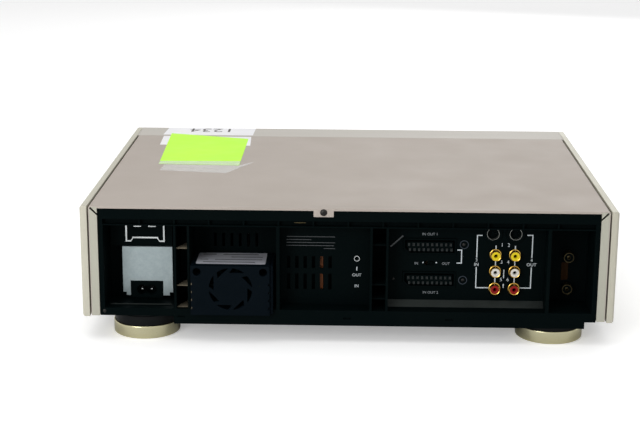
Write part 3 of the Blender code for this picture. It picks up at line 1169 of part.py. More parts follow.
DRUM = deck(0, DRUM_Y)
CAPSTAN = deck(CAPSTAN_X, CAPSTAN_Y)
PINCH_PIVOT = deck(PINCH_PIVOT_X, PINCH_PIVOT_Y)
TENSION_PIVOT = deck(TENSION_PIVOT_X, TENSION_PIVOT_Y)
IDLER_PIVOT = deck(0, IDLER_Y)
REELS = {"supply_reel": deck(-REEL_X, REEL_Y), "takeup_reel": deck(REEL_X, REEL_Y)}
LOADING = deck(0, LOADING_Y)
ON_DECK = DECK_TOP + DECK_LIFT
BUSH_TOP = DECK_TOP + CAPSTAN_BUSH_HEIGHT
PIVOT_TOP = ON_DECK + ARM_BOSS_RADIUS
SPINDLE_TOP = ON_DECK + REEL_SPINDLE_HEIGHT
GEAR_TOP = DECK_BOTTOM - LOADING_DROP
GEAR_BOTTOM = GEAR_TOP - LOADING_FACE
HOLE = PIN_RADIUS + RUNNING_GAP

plate = block("deck_plate", (-DECK_HALF, DECK_HALF), (from_front(DECK_FRONT), from_front(DECK_BACK)),
              (DECK_BOTTOM, DECK_TOP))
plate_middle = (DECK_BOTTOM + DECK_TOP) / 2
plate_shapes = [rod("pin", PIN_RADIUS, plate_middle, PIVOT_TOP + GAP, place)
                for place in (PINCH_PIVOT, TENSION_PIVOT, IDLER_PIVOT)]
plate_shapes += [rod("spindle", PIN_RADIUS, plate_middle, SPINDLE_TOP + GAP, place)
                 for place in REELS.values()]
plate_shapes += [rod("bush", CAPSTAN_BUSH_RADIUS, plate_middle, BUSH_TOP, CAPSTAN),
                 rod("gear_pin", LOADING_PIN_RADIUS, GEAR_BOTTOM - GAP, plate_middle, LOADING)]
join(plate, *plate_shapes)
slot_radius = GUIDE_PIN_RADIUS + RUNNING_GAP
plate_cuts = [extruded("guide_slot", stadium(deck(side * GUIDE_START_X, GUIDE_START_Y),
                                             deck(side * GUIDE_END_X, GUIDE_END_Y), slot_radius),
                       DECK_BOTTOM - OVERRUN, DECK_TOP + OVERRUN) for side in (1, -1)]
cut(plate, rod("capstan", CAPSTAN_RADIUS + GAP, DECK_BOTTOM - OVERRUN, BUSH_TOP + OVERRUN, CAPSTAN),
    *plate_cuts)
give_finish(plate, STEEL)

DRUM_SPLIT = DECK_TOP + GAP + DRUM_LOWER_HEIGHT
lower = bored("lower_drum", [
    (DRUM_SHAFT_RADIUS + RUNNING_GAP, DECK_TOP + GAP), (DRUM_RADIUS, DECK_TOP + GAP),
    (DRUM_RADIUS, DRUM_SPLIT), (DRUM_SHAFT_RADIUS + RUNNING_GAP, DRUM_SPLIT)], DRUM, FINE)
shade_round(lower)
give_finish(lower, ALUMINIUM)
UPPER_BOTTOM = DRUM_SPLIT + GAP
UPPER_TOP = UPPER_BOTTOM + DRUM_UPPER_HEIGHT
upper = bored("upper_drum", [
    (0, UPPER_BOTTOM - DRUM_SHAFT_LENGTH), (DRUM_SHAFT_RADIUS, UPPER_BOTTOM - DRUM_SHAFT_LENGTH),
    (DRUM_SHAFT_RADIUS, UPPER_BOTTOM), (DRUM_RADIUS, UPPER_BOTTOM), (DRUM_RADIUS, UPPER_TOP - DRUM_STEP),
    (DRUM_RADIUS - DRUM_STEP, UPPER_TOP), (DRUM_CAP_RADIUS, UPPER_TOP),
    (DRUM_CAP_RADIUS, UPPER_TOP + DRUM_CAP_HEIGHT), (0, UPPER_TOP + DRUM_CAP_HEIGHT)], DRUM, FINE)
shade_round(upper)
set_origin(upper, (*DRUM, UPPER_BOTTOM))
give_finish(upper, ALUMINIUM)

for name, place in REELS.items():
    reel = bored(name, [
        (HOLE, ON_DECK), (REEL_FLANGE_RADIUS, ON_DECK), (REEL_FLANGE_RADIUS, ON_DECK + REEL_FLANGE),
        (REEL_HUB_RADIUS, ON_DECK + REEL_FLANGE), (REEL_HUB_RADIUS, ON_DECK + REEL_HUB_HEIGHT),
        (REEL_SPINDLE_RADIUS, ON_DECK + REEL_HUB_HEIGHT), (REEL_SPINDLE_RADIUS, SPINDLE_TOP),
        (HOLE, SPINDLE_TOP)], place)
    wings = []
    for index in range(REEL_WING_COUNT):
        wing = block("wing", (HOLE + REEL_WING, REEL_WING_RADIUS), (-REEL_WING / 2, REEL_WING / 2),
                     (ON_DECK + REEL_FLANGE, SPINDLE_TOP - REEL_WING_DROP))
        turn = Matrix.Rotation(math.tau * index / REEL_WING_COUNT, 4, "Z")
        wing.data.transform(Matrix.Translation((*place, 0)) @ turn)
        wings.append(wing)
    join(reel, *wings)
    shade_round(reel)
    set_origin(reel, (*place, ON_DECK))
    give_finish(reel, WHITE_PLASTIC)


def arm_solid(name, pivot, tip, bar_bottom):
    """A flat lever with a bored boss on its pivot."""
    bar = extruded(name, stadium(pivot, tip, ARM_WIDTH / 2), bar_bottom, bar_bottom + ARM_SHEET)
    return join(bar, rod("boss", ARM_BOSS_RADIUS, ON_DECK, PIVOT_TOP, pivot))


def bore_arm(item, pivot):
    cut(item, rod("bore", HOLE, ON_DECK - OVERRUN, PIVOT_TOP + OVERRUN, pivot))
    set_origin(item, (*pivot, ON_DECK))
    give_finish(item, STEEL)


IDLER_WHEEL = (IDLER_PIVOT[0], IDLER_PIVOT[1] + IDLER_REACH)
idler_bar = ON_DECK + REEL_FLANGE
idler = arm_solid("idler_arm", IDLER_PIVOT, IDLER_WHEEL, idler_bar)
join(idler, rod("axle", POLE_RADIUS, ON_DECK, idler_bar + ARM_SHEET / 2, IDLER_WHEEL))
bore_arm(idler, IDLER_PIVOT)
wheel = bored("idler_wheel", [
    (POLE_RADIUS + GAP, ON_DECK), (IDLER_WHEEL_RADIUS, ON_DECK), (IDLER_WHEEL_RADIUS, idler_bar - GAP),
    (POLE_RADIUS + GAP, idler_bar - GAP)], IDLER_WHEEL)
shade_round(wheel)
set_origin(wheel, (*IDLER_WHEEL, ON_DECK))
give_finish(wheel, RUBBER)

# Pinch roller: where it meets the capstan, and its arm swung back from there
towards_roller = Vector((math.cos(PINCH_SIDE), math.sin(PINCH_SIDE)))
meeting = Vector(CAPSTAN) + (CAPSTAN_RADIUS + GAP + PINCH_RADIUS) * towards_roller
pinch_arm_vector = meeting - Vector(PINCH_PIVOT)
PINCH_ROLLER = tuple(Vector(PINCH_PIVOT) + Matrix.Rotation(PINCH_SWING, 2) @ pinch_arm_vector)
pinch = arm_solid("pinch_arm", PINCH_PIVOT, PINCH_ROLLER, ON_DECK)
join(pinch, rod("axle", POLE_RADIUS, ON_DECK + ARM_SHEET / 2, POST_TOP + ARM_SHEET, PINCH_ROLLER))
bore_arm(pinch, PINCH_PIVOT)
roller_bottom = ON_DECK + 2 * ARM_SHEET
roller = bored("pinch_roller", [
    (POLE_RADIUS + GAP, roller_bottom), (PINCH_RADIUS, roller_bottom), (PINCH_RADIUS, POST_TOP),
    (POLE_RADIUS + GAP, POST_TOP)], PINCH_ROLLER)
shade_round(roller)
set_origin(roller, (*PINCH_ROLLER, roller_bottom))
give_finish(roller, RUBBER)

TENSION_TIP = deck(TENSION_TIP_X, TENSION_TIP_Y)
tension = arm_solid("tension_arm", TENSION_PIVOT, TENSION_TIP, ON_DECK)
join(tension, rod("pole", POLE_RADIUS, ON_DECK + ARM_SHEET / 2, POST_TOP, TENSION_TIP))
bore_arm(tension, TENSION_PIVOT)

for name, place in (("audio_control_head", (CONTROL_HEAD_X, CONTROL_HEAD_Y)),
                    ("erase_head", (ERASE_HEAD_X, ERASE_HEAD_Y))):
    x, y = deck(*place)
    head = block(name, (x - HEAD_WIDTH / 2, x + HEAD_WIDTH / 2), (y - HEAD_DEPTH / 2, y + HEAD_DEPTH / 2),
                 (DECK_TOP + GAP, POST_TOP))
    reach = HEAD_BASE_MARGIN + HEAD_DEPTH / 2
    join(head, block("base", (x - HEAD_WIDTH / 2 - HEAD_BASE_MARGIN, x + HEAD_WIDTH / 2 + HEAD_BASE_MARGIN),
                     (y - reach, y + reach), (DECK_TOP + GAP, DECK_TOP + HEAD_BASE)))
    give_finish(head, BRIGHT_STEEL)

# Tape guides on sleds, in their slanted slots
guide_along = Vector((GUIDE_END_X - GUIDE_START_X, GUIDE_END_Y - GUIDE_START_Y)).normalized()
for side, name in ((-1, "supply_guide"), (1, "takeup_guide")):
    start = Vector(deck(side * GUIDE_START_X, GUIDE_START_Y))
    along = Vector((side * guide_along.x, guide_along.y))
    across = Vector((along.y, -along.x))
    outline = [tuple(start + a * GUIDE_SLED_LENGTH / 2 * along + b * GUIDE_SLED_WIDTH / 2 * across)
               for a, b in ((-1, -1), (1, -1), (1, 1), (-1, 1))]
    sled_top = DECK_TOP + GAP + GUIDE_SLED
    guide = extruded(name, outline, DECK_TOP + GAP, sled_top)
    place = tuple(start)
    join(guide, rod("pin", GUIDE_PIN_RADIUS, DECK_BOTTOM, sled_top - GUIDE_SLED / 2, place),
         bored("roller", [
             (0, sled_top - GUIDE_SLED / 2), (GUIDE_NECK_RADIUS, sled_top - GUIDE_SLED / 2),
             (GUIDE_NECK_RADIUS, sled_top + ARM_SHEET), (GUIDE_ROLLER_RADIUS, sled_top + ARM_SHEET),
             (GUIDE_ROLLER_RADIUS, POST_TOP), (0, POST_TOP)], place, SMALL))
    set_origin(guide, (*place, DECK_TOP))
    give_finish(guide, STEEL)

# Capstan, its flywheel and the motor plate under the deck
FLYWHEEL_TOP = DECK_BOTTOM - FLYWHEEL_DROP
FLYWHEEL_BOTTOM = FLYWHEEL_TOP - FLYWHEEL_THICKNESS
capstan = bored("capstan_flywheel", [
    (0, FLYWHEEL_BOTTOM - FLYWHEEL_PIVOT), (CAPSTAN_RADIUS, FLYWHEEL_BOTTOM - FLYWHEEL_PIVOT),
    (CAPSTAN_RADIUS, FLYWHEEL_BOTTOM), (FLYWHEEL_RADIUS, FLYWHEEL_BOTTOM), (FLYWHEEL_RADIUS, FLYWHEEL_TOP),
    (CAPSTAN_RADIUS, FLYWHEEL_TOP), (CAPSTAN_RADIUS, POST_TOP), (0, POST_TOP)], CAPSTAN)
shade_round(capstan)
set_origin(capstan, (*CAPSTAN, FLYWHEEL_TOP))
give_finish(capstan, STEEL)
MOTOR_TOP = FLYWHEEL_BOTTOM - FLYWHEEL_PIVOT - GAP - MOTOR_BOSS_HEIGHT
motor = rod("capstan_motor", MOTOR_PLATE_RADIUS, MOTOR_TOP - MOTOR_PLATE, MOTOR_TOP, CAPSTAN, "Z", ROUND)
motor_shapes = [rod("boss", ARM_BOSS_RADIUS, MOTOR_TOP - MOTOR_PLATE / 2, MOTOR_TOP + MOTOR_BOSS_HEIGHT,
                    CAPSTAN)]
for index in range(MOTOR_POST_COUNT):
    turn = MOTOR_POST_START + math.tau * index / MOTOR_POST_COUNT
    post_place = (CAPSTAN[0] + MOTOR_POST_REACH * math.cos(turn),
                  CAPSTAN[1] + MOTOR_POST_REACH * math.sin(turn))
    motor_shapes.append(rod("post", MOTOR_POST_RADIUS, MOTOR_TOP - MOTOR_PLATE / 2, DECK_BOTTOM - GAP,
                            post_place))
join(motor, *motor_shapes)
shade_round(motor)
give_finish(motor, STEEL)

# Loading drive: the gear under the deck and the motor's pinion beside it
PINION_REACH = TOOTH_MODULE * (LOADING_TEETH + LOADING_PINION_TEETH) / 2
PINION = (LOADING[0] - PINION_REACH, LOADING[1])
gear = extruded("loading_gear", gear_outline(LOADING, LOADING_TEETH, math.pi), GEAR_BOTTOM, GEAR_TOP)
cut(gear, rod("bore", LOADING_PIN_RADIUS + GAP, GEAR_BOTTOM - OVERRUN, GEAR_TOP + OVERRUN, LOADING))
set_origin(gear, (*LOADING, GEAR_BOTTOM))
give_finish(gear, WHITE_PLASTIC)
pinion = extruded("loading_pinion",
                  gear_outline(PINION, LOADING_PINION_TEETH, math.pi / LOADING_PINION_TEETH),
                  GEAR_BOTTOM, GEAR_TOP)
join(pinion, rod("shaft", LOADING_SHAFT_RADIUS, GEAR_BOTTOM - LOADING_SHAFT_LENGTH,
                 GEAR_BOTTOM + LOADING_FACE / 2, PINION))
set_origin(pinion, (*PINION, GEAR_BOTTOM))
give_finish(pinion, BRASS)
motor_top = GEAR_BOTTOM - RUNNING_GAP
drive = rod("loading_motor", LOADING_MOTOR_RADIUS, motor_top - LOADING_MOTOR_HEIGHT, motor_top,
            PINION, "Z", ROUND)
ear_places = [(PINION[0], PINION[1] + side * LOADING_EAR_REACH) for side in (1, -1)]
join(drive, extruded("ear", stadium(ear_places[1], ear_places[0], ARM_WIDTH / 2),
                     motor_top - LOADING_EAR, motor_top),
     *[rod("post", MOTOR_POST_RADIUS, motor_top - LOADING_EAR / 2, DECK_BOTTOM - GAP, place)
       for place in ear_places])
cut(drive, rod("bore", LOADING_SHAFT_RADIUS + GAP, motor_top - LOADING_SHAFT_LENGTH - OVERRUN,
               motor_top + OVERRUN, PINION))
shade_round(drive)
give_finish(drive, STEEL)

# Cassette carriage: a holder that drops in a slider, which slides in a fixed bracket
MOUTH = from_front(HOLDER_MOUTH)
HOLDER_INNER = CASSETTE_WIDTH / 2 + CASSETTE_PLAY
HOLDER_OUTER = HOLDER_INNER + HOLDER_SHEET
HOLDER_BACK = MOUTH + CASSETTE_DEPTH + CASSETTE_PLAY
HOLDER_TOP = SLOT_FLOOR + CASSETTE_HEIGHT + 2 * CASSETTE_PLAY + HOLDER_SHEET
SLIDER_INNER = HOLDER_OUTER + CARRIAGE_GAP
SLIDER_OUTER = SLIDER_INNER + CARRIAGE_SHEET
BRACKET_INNER = SLIDER_OUTER + CARRIAGE_GAP
BRACKET_OUTER = BRACKET_INNER + CARRIAGE_SHEET
HOLDER_PIN_Z = (SLOT_FLOOR + HOLDER_TOP) / 2
SLIDER_PIN_Z = HOLDER_TOP - SLIDER_PIN_DROP
SLIDER_TOP = HOLDER_TOP + CARRIAGE_GAP + CARRIAGE_SHEET
RACK_Z = HOLDER_PIN_Z - SLIDER_RACK_DROP
BRACKET_TOP = HOLDER_TOP + BRACKET_RISE
carriage_slot = CARRIAGE_PIN_RADIUS + GAP

holder = extruded("cassette_holder", [
    (-HOLDER_OUTER, SLOT_FLOOR - HOLDER_SHEET), (-HOLDER_INNER + HOLDER_LIP, SLOT_FLOOR - HOLDER_SHEET),
    (-HOLDER_INNER + HOLDER_LIP, SLOT_FLOOR), (-HOLDER_INNER, SLOT_FLOOR),
    (-HOLDER_INNER, HOLDER_TOP - HOLDER_SHEET), (HOLDER_INNER, HOLDER_TOP - HOLDER_SHEET),
    (HOLDER_INNER, SLOT_FLOOR), (HOLDER_INNER - HOLDER_LIP, SLOT_FLOOR),
    (HOLDER_INNER - HOLDER_LIP, SLOT_FLOOR - HOLDER_SHEET), (HOLDER_OUTER, SLOT_FLOOR - HOLDER_SHEET),
    (HOLDER_OUTER, HOLDER_TOP), (-HOLDER_OUTER, HOLDER_TOP)], MOUTH, HOLDER_BACK, "Y")
holder_middle = (MOUTH + HOLDER_BACK) / 2
cut(holder, block("window", (-HOLDER_WINDOW_WIDTH / 2, HOLDER_WINDOW_WIDTH / 2),
                  (holder_middle - HOLDER_WINDOW_DEPTH / 2, holder_middle + HOLDER_WINDOW_DEPTH / 2),
                  (HOLDER_TOP - HOLDER_SHEET - OVERRUN, HOLDER_TOP + OVERRUN)))
join(holder, *[rod("pin", CARRIAGE_PIN_RADIUS, side * (HOLDER_OUTER - HOLDER_SHEET / 2), side * SLIDER_OUTER,
                   (MOUTH + back, HOLDER_PIN_Z), "X")
               for side in (1, -1) for back in (HOLDER_PIN_FRONT, HOLDER_PIN_BACK)])
set_origin(holder, (0, holder_middle, HOLDER_PIN_Z))
give_finish(holder, STEEL)

# Rack teeth point down from its pitch line, one over the pinion
RACK_PINION = (from_front(CARRIAGE_PINION_Y), RACK_Z - TOOTH_MODULE * CARRIAGE_PINION_TEETH / 2)
tooth_pitch = math.pi * TOOTH_MODULE
rack_front = MOUTH + tooth_pitch
rack_teeth = int((HOLDER_BACK - rack_front) / tooth_pitch) - 1
first_tooth = RACK_PINION[0] - tooth_pitch * int((RACK_PINION[0] - rack_front) / tooth_pitch)
rise = TOOTH_MODULE * ADDENDUM_SHARE
fall = TOOTH_MODULE * DEDENDUM_SHARE
rack = []
for index in range(rack_teeth):
    middle = first_tooth + index * tooth_pitch
    rack += [(middle - tooth_half(-fall), RACK_Z + fall), (middle - tooth_half(rise), RACK_Z - rise),
             (middle + tooth_half(rise), RACK_Z - rise), (middle + tooth_half(-fall), RACK_Z + fall)]
rack_outline = [(MOUTH, SLIDER_TOP), (MOUTH, RACK_Z + fall), *rack,
                (HOLDER_BACK, RACK_Z + fall), (HOLDER_BACK, SLIDER_TOP)]
slider = extruded("carriage_slider", rack_outline, SLIDER_INNER, SLIDER_OUTER, "X")
slider_y = (MOUTH, HOLDER_BACK)
join(slider, block("plate", (-SLIDER_OUTER, -SLIDER_INNER), slider_y, (RACK_Z + fall, SLIDER_TOP)),
     block("bar", (-SLIDER_OUTER, SLIDER_OUTER), (HOLDER_BACK - SLIDER_BAR, HOLDER_BACK),
           (SLIDER_TOP - CARRIAGE_SHEET, SLIDER_TOP)),
     *[rod("pin", CARRIAGE_PIN_RADIUS, side * (SLIDER_OUTER - CARRIAGE_SHEET / 2), side * BRACKET_OUTER,
           (MOUTH + back, SLIDER_PIN_Z), "X")
       for side in (1, -1) for back in (SLIDER_PIN_FRONT, SLIDER_PIN_BACK)])
slot_x = {1: (SLIDER_INNER - RUNNING_GAP, SLIDER_OUTER + RUNNING_GAP),
          -1: (-SLIDER_OUTER - RUNNING_GAP, -SLIDER_INNER + RUNNING_GAP)}
cut(slider, *[extruded("drop_slot", stadium((MOUTH + back, HOLDER_PIN_Z - HOLDER_DROP),
                                            (MOUTH + back, HOLDER_PIN_Z), carriage_slot), *slot_x[side], "X")
              for side in (1, -1) for back in (HOLDER_PIN_FRONT, HOLDER_PIN_BACK)])
set_origin(slider, (0, holder_middle, SLIDER_PIN_Z))
give_finish(slider, STEEL)

bracket_y = (MOUTH, from_front(BRACKET_BACK))
bracket = block("carriage_bracket", (-BRACKET_OUTER, BRACKET_OUTER),
                (bracket_y[1] - SLIDER_BAR, bracket_y[1]), (BRACKET_TOP - CARRIAGE_SHEET, BRACKET_TOP))
bracket_foot = DECK_TOP + GAP
bracket_shapes = [extruded("side", [
    (side * BRACKET_INNER, bracket_foot), (side * (BRACKET_OUTER + BRACKET_FOOT), bracket_foot),
    (side * (BRACKET_OUTER + BRACKET_FOOT), bracket_foot + CARRIAGE_SHEET),
    (side * BRACKET_OUTER, bracket_foot + CARRIAGE_SHEET), (side * BRACKET_OUTER, BRACKET_TOP),
    (side * BRACKET_INNER, BRACKET_TOP)], *bracket_y, "Y") for side in (1, -1)]
join(bracket, *bracket_shapes)
cross_x = (-BRACKET_OUTER - OVERRUN, BRACKET_OUTER + OVERRUN)
pinion_hole = CARRIAGE_PIN_RADIUS + GAP
cut(bracket, *[extruded("slide_slot", stadium((MOUTH + back, SLIDER_PIN_Z),
                                              (MOUTH + back + CARRIAGE_TRAVEL, SLIDER_PIN_Z), carriage_slot),
                        *cross_x, "X") for back in (SLIDER_PIN_FRONT, SLIDER_PIN_BACK)],
    rod("pinion", pinion_hole, BRACKET_INNER - RUNNING_GAP, BRACKET_OUTER + OVERRUN, RACK_PINION, "X"))
give_finish(bracket, STEEL)

carriage_pinion = extruded("carriage_pinion", gear_outline(RACK_PINION, CARRIAGE_PINION_TEETH,
                                                           math.pi / 2 + math.pi / CARRIAGE_PINION_TEETH),
                           SLIDER_INNER, SLIDER_OUTER, "X")
head_x = BRACKET_OUTER + GAP
join(carriage_pinion,
     rod("shaft", CARRIAGE_PIN_RADIUS, SLIDER_INNER + CARRIAGE_SHEET / 2, head_x + CARRIAGE_PINION_HEAD,
         RACK_PINION, "X"),
     rod("head", CARRIAGE_PINION_HEAD_RADIUS, head_x, head_x + CARRIAGE_PINION_HEAD, RACK_PINION, "X"))
set_origin(carriage_pinion, (SLIDER_INNER, *RACK_PINION))
give_finish(carriage_pinion, WHITE_PLASTIC)

# Boards under the deck and beside it
board_z = (BOARD_BOTTOM, BOARD_BOTTOM + BOARD)
main_y = (from_front(MAIN_BOARD_FRONT), from_front(MAIN_BOARD_BACK))
main_board = block("main_board", (-MAIN_BOARD_HALF, MAIN_BOARD_HALF), main_y, board_z)
chips = []
for across, along in CHIP_PLACES_SHARE:
    x = MAIN_BOARD_HALF * across
    y = main_y[0] + (main_y[1] - main_y[0]) * along
    chips.append(block("chip", (x - CHIP / 2, x + CHIP / 2), (y - CHIP / 2, y + CHIP / 2),
                       (board_z[1] - BOARD / 2, board_z[1] + CHIP_HEIGHT)))
join(main_board, *chips)
give_finish(main_board, GREEN_BOARD)
power_y = (from_front(POWER_BOARD_FRONT), POWER_BOARD_BACK)
power_board = block("power_board", (POWER_BOARD_LEFT, POWER_BOARD_RIGHT), power_y, board_z)
give_finish(power_board, BROWN_BOARD)
transformer_right = POWER_BOARD_RIGHT - TRANSFORMER_MARGIN
transformer_x = (transformer_right - TRANSFORMER_WIDTH, transformer_right)
transformer_y = (power_y[0] + TRANSFORMER_MARGIN, power_y[0] + TRANSFORMER_MARGIN + TRANSFORMER_DEPTH)
transformer_z = (board_z[1] + GAP, board_z[1] + GAP + TRANSFORMER_HEIGHT)
transformer = block("mains_transformer", transformer_x, transformer_y, transformer_z)
side_gap = (TRANSFORMER_DEPTH - TRANSFORMER_CORE) / 2
core_z = (transformer_z[0] + TRANSFORMER_HEIGHT - TRANSFORMER_CORE, transformer_z[1] + OVERRUN)
cut(transformer, block("notch", (transformer_x[0] - OVERRUN, transformer_x[1] + OVERRUN),
                       (transformer_y[0] - OVERRUN, transformer_y[0] + side_gap / 2), core_z),
    block("notch", (transformer_x[0] - OVERRUN, transformer_x[1] + OVERRUN),
          (transformer_y[1] - side_gap / 2, transformer_y[1] + OVERRUN), core_z))
give_finish(transformer, COPPER)
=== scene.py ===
"""The looks of a front-loading video cassette recorder, photographed from behind.

Metres, +Z up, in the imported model's frame: the front faces -Y, the sockets face +Y.
"""
import json
import math

import bmesh
import bpy
from mathutils import Matrix, Vector


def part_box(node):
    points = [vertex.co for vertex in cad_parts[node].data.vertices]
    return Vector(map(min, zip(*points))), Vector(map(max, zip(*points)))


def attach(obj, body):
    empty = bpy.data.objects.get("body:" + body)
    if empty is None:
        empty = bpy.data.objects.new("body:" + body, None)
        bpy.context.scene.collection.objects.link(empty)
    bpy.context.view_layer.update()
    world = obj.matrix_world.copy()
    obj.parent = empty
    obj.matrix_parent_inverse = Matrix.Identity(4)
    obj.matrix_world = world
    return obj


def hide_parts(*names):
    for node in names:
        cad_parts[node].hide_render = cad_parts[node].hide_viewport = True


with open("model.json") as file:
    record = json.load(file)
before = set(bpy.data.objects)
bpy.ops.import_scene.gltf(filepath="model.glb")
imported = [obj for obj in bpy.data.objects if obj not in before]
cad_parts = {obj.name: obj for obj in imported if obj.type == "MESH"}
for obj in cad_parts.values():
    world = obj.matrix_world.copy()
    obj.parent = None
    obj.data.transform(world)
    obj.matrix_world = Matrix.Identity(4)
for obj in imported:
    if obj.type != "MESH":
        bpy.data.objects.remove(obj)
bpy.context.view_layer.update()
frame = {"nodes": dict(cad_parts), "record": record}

# Camera: where the photograph was taken from, worked out from the cabinet's corners.
# The lens is long, and the camera looks down at the back from a little above the cabinet.
PHOTO_WIDTH = 640
FOCAL_PIXELS = 1456.96
SENSOR_WIDTH = 36
CAMERA_PLACE = Vector((-0.0026, 1.3996, 0.4396))
CAMERA_YAW = -0.02227
CAMERA_PITCH = 0.25597
CAMERA_ROLL = 0.00607
ahead = Vector((-math.sin(CAMERA_YAW) * math.cos(CAMERA_PITCH),
                -math.cos(CAMERA_YAW) * math.cos(CAMERA_PITCH), -math.sin(CAMERA_PITCH)))
level = Vector((-math.cos(CAMERA_YAW), math.sin(CAMERA_YAW), 0))
upward = level.cross(ahead)
across = level * math.cos(CAMERA_ROLL) + upward * math.sin(CAMERA_ROLL)
upward = upward * math.cos(CAMERA_ROLL) - level * math.sin(CAMERA_ROLL)
camera_data = bpy.data.cameras.new("photo_camera")
camera_data.sensor_width = SENSOR_WIDTH
camera_data.lens = SENSOR_WIDTH * FOCAL_PIXELS / PHOTO_WIDTH
camera = bpy.data.objects.new("photo_camera", camera_data)
turned = Matrix((across, upward, -ahead)).transposed().to_4x4()
camera.matrix_world = Matrix.Translation(CAMERA_PLACE) @ turned
bpy.context.scene.collection.objects.link(camera)
bpy.context.scene.camera = camera
bpy.context.scene.view_settings.view_transform = "Standard"

# Studio: a pale floor and a white surround, with one wide soft lamp overhead,
# one beside the camera for the sockets, and one low in front for the front panel.
MM = 0.001
FLOOR_HALF = 3.0
FLOOR_GLOW = (0.30, 0.30, 0.30)
# Each lamp's place, size and power.
LAMPS = {"overhead": ((0.2, 0.3, 1.9), 1.8, 14), "camera_side": ((1.1, 1.8, 0.7), 1.0, 21),
         "front_side": ((-0.6, -1.9, 0.9), 1.4, 8)}
LAMP_AIM = Vector((0, 0, 0.06))
WORLD_STRENGTH = 0.55
PATCH_LEVELS = (0.35, 0.65)    # the levels of noise between which a patch, a fleck or a gloss comes in
FLECK_LEVELS = (0.35, 0.75)
GLOSS_LEVELS = (0.3, 0.7)
GRAIN_STRENGTH = 0.4


class Signal:
    """One output of a shader node, so that a sum can be written as such."""

    def __init__(self, nodes, socket):
        self.nodes = nodes
        self.socket = socket

    def __add__(self, other):
        return self.nodes.node("ShaderNodeMath", {"operation": "ADD"}, {0: self, 1: other})

    __radd__ = __add__


class Nodes:
    """The nodes that lead to one shader, of a material or of the world."""

    def __init__(self, tree, shader):
        self.tree = tree
        self.shader = tree.nodes[shader]

    def node(self, kind, settings=None, inputs=None, output=0):
        """Any node: its settings first, then the values or links of its sockets."""
        new = self.tree.nodes.new(kind)
        for key, value in (settings or {}).items():
            setattr(new, key, value)
        for key, value in (inputs or {}).items():
            if isinstance(value, Signal):
                self.tree.links.new(value.socket, new.inputs[key])
            else:
                new.inputs[key].default_value = value
        return Signal(self, new.outputs[output])

    def feed(self, socket, signal):
        self.tree.links.new(signal.socket, self.shader.inputs[socket])

    def spread(self, signal, low, high, new_low, new_high):
        """A signal's range mapped onto another, held at its ends."""
        return self.node("ShaderNodeMapRange", inputs={"Value": signal, "From Min": low, "From Max": high,
                                                       "To Min": new_low, "To Max": new_high})


class Finish(Nodes):
    """A material on one Principled shader, with the record's slot that it belongs to."""

    def __init__(self, slot, colour, roughness, metallic=0.0, name=None, **steady):
        self.slot = slot
        self.colour = colour
        self.material = bpy.data.materials.new(name or slot + "_finish")
        self.material.use_nodes = True
        super().__init__(self.material.node_tree, "Principled BSDF")
        values = {"Base Color": (*colour, 1), "Roughness": roughness, "Metallic": metallic}
        values.update({socket.replace("_", " "): value for socket, value in steady.items()})
        for socket, value in values.items():
            self.shader.inputs[socket].default_value = value

    def noise(self, scale, detail, stretch=(1, 1, 1)):
        """Even noise over the surface points, which are metres of the machine's frame."""
        surface = self.node("ShaderNodeTexCoord", output="Object")
        point = self.node("ShaderNodeMapping", inputs={"Vector": surface, "Scale": stretch})
        return self.node("ShaderNodeTexNoise", inputs={"Vector": point, "Scale": scale, "Detail": detail})

    def blend(self, mask, first, second):
        """Two colours mixed by a mask."""
        values = [value if isinstance(value, Signal) else (*value, 1) for value in (first, second)]
        return self.node("ShaderNodeMix", {"data_type": "RGBA"}, {0: mask, 6: values[0], 7: values[1]}, 2)

    def bump(self, height, distance, strength):
        self.feed("Normal", self.node("ShaderNodeBump", inputs={"Height": height, "Distance": distance,
                                                                "Strength": strength}))

    def weather(self, patch, dark, share, fleck, depth, gloss=(0.9, 1.1), stretch=(1, 1, 1)):
        """Soft patches of another tone, fine flecks, uneven gloss and a shallow grain."""
        patches = self.spread(self.noise(patch, 3, stretch), *PATCH_LEVELS, 0, share)
        flecks = self.noise(fleck, 2, stretch)
        tone = self.blend(patches, self.colour, dark)
        tone = self.blend(self.spread(flecks, *FLECK_LEVELS, 0, share), tone, dark)
        self.feed("Base Color", tone)
        rough = self.shader.inputs["Roughness"].default_value
        self.feed("Roughness", self.spread(self.noise(patch * 3, 4, stretch), *GLOSS_LEVELS,
                                           rough * gloss[0], min(rough * gloss[1], 1)))
        self.bump(flecks, depth, GRAIN_STRENGTH)
        return self


def linear(*levels):
    """A colour written as it looks, 0 to 255, in the linear values that a shader takes."""
    shares = [level / 255 for level in levels]
    return tuple(s / 12.92 if s <= 0.04045 else ((s + 0.055) / 1.055) ** 2.4 for s in shares)


def made(maker, name="blank"):
    """A bmesh as an object, for use as a piece or as a cutter."""
    bmesh.ops.recalc_face_normals(maker, faces=maker.faces)
    data = bpy.data.meshes.new(name)
    maker.to_mesh(data)
    maker.free()
    item = bpy.data.objects.new(name, data)
    bpy.context.scene.collection.objects.link(item)
    return item


paper = Finish(None, linear(243, 243, 243), 0.9, name="floor_paper")
paper.bump(paper.noise(40, 2), 0.2 * MM, 0.1)
paper.shader.inputs["Emission Strength"].default_value = 1.0
seen = paper.node("ShaderNodeLightPath", output="Is Camera Ray")
paper.feed("Emission Color", paper.blend(seen, (0, 0, 0), FLOOR_GLOW))
floor_maker = bmesh.new()
bmesh.ops.create_grid(floor_maker, x_segments=8, y_segments=8, size=FLOOR_HALF)
floor = made(floor_maker, "floor")
floor.data.materials.append(paper.material)

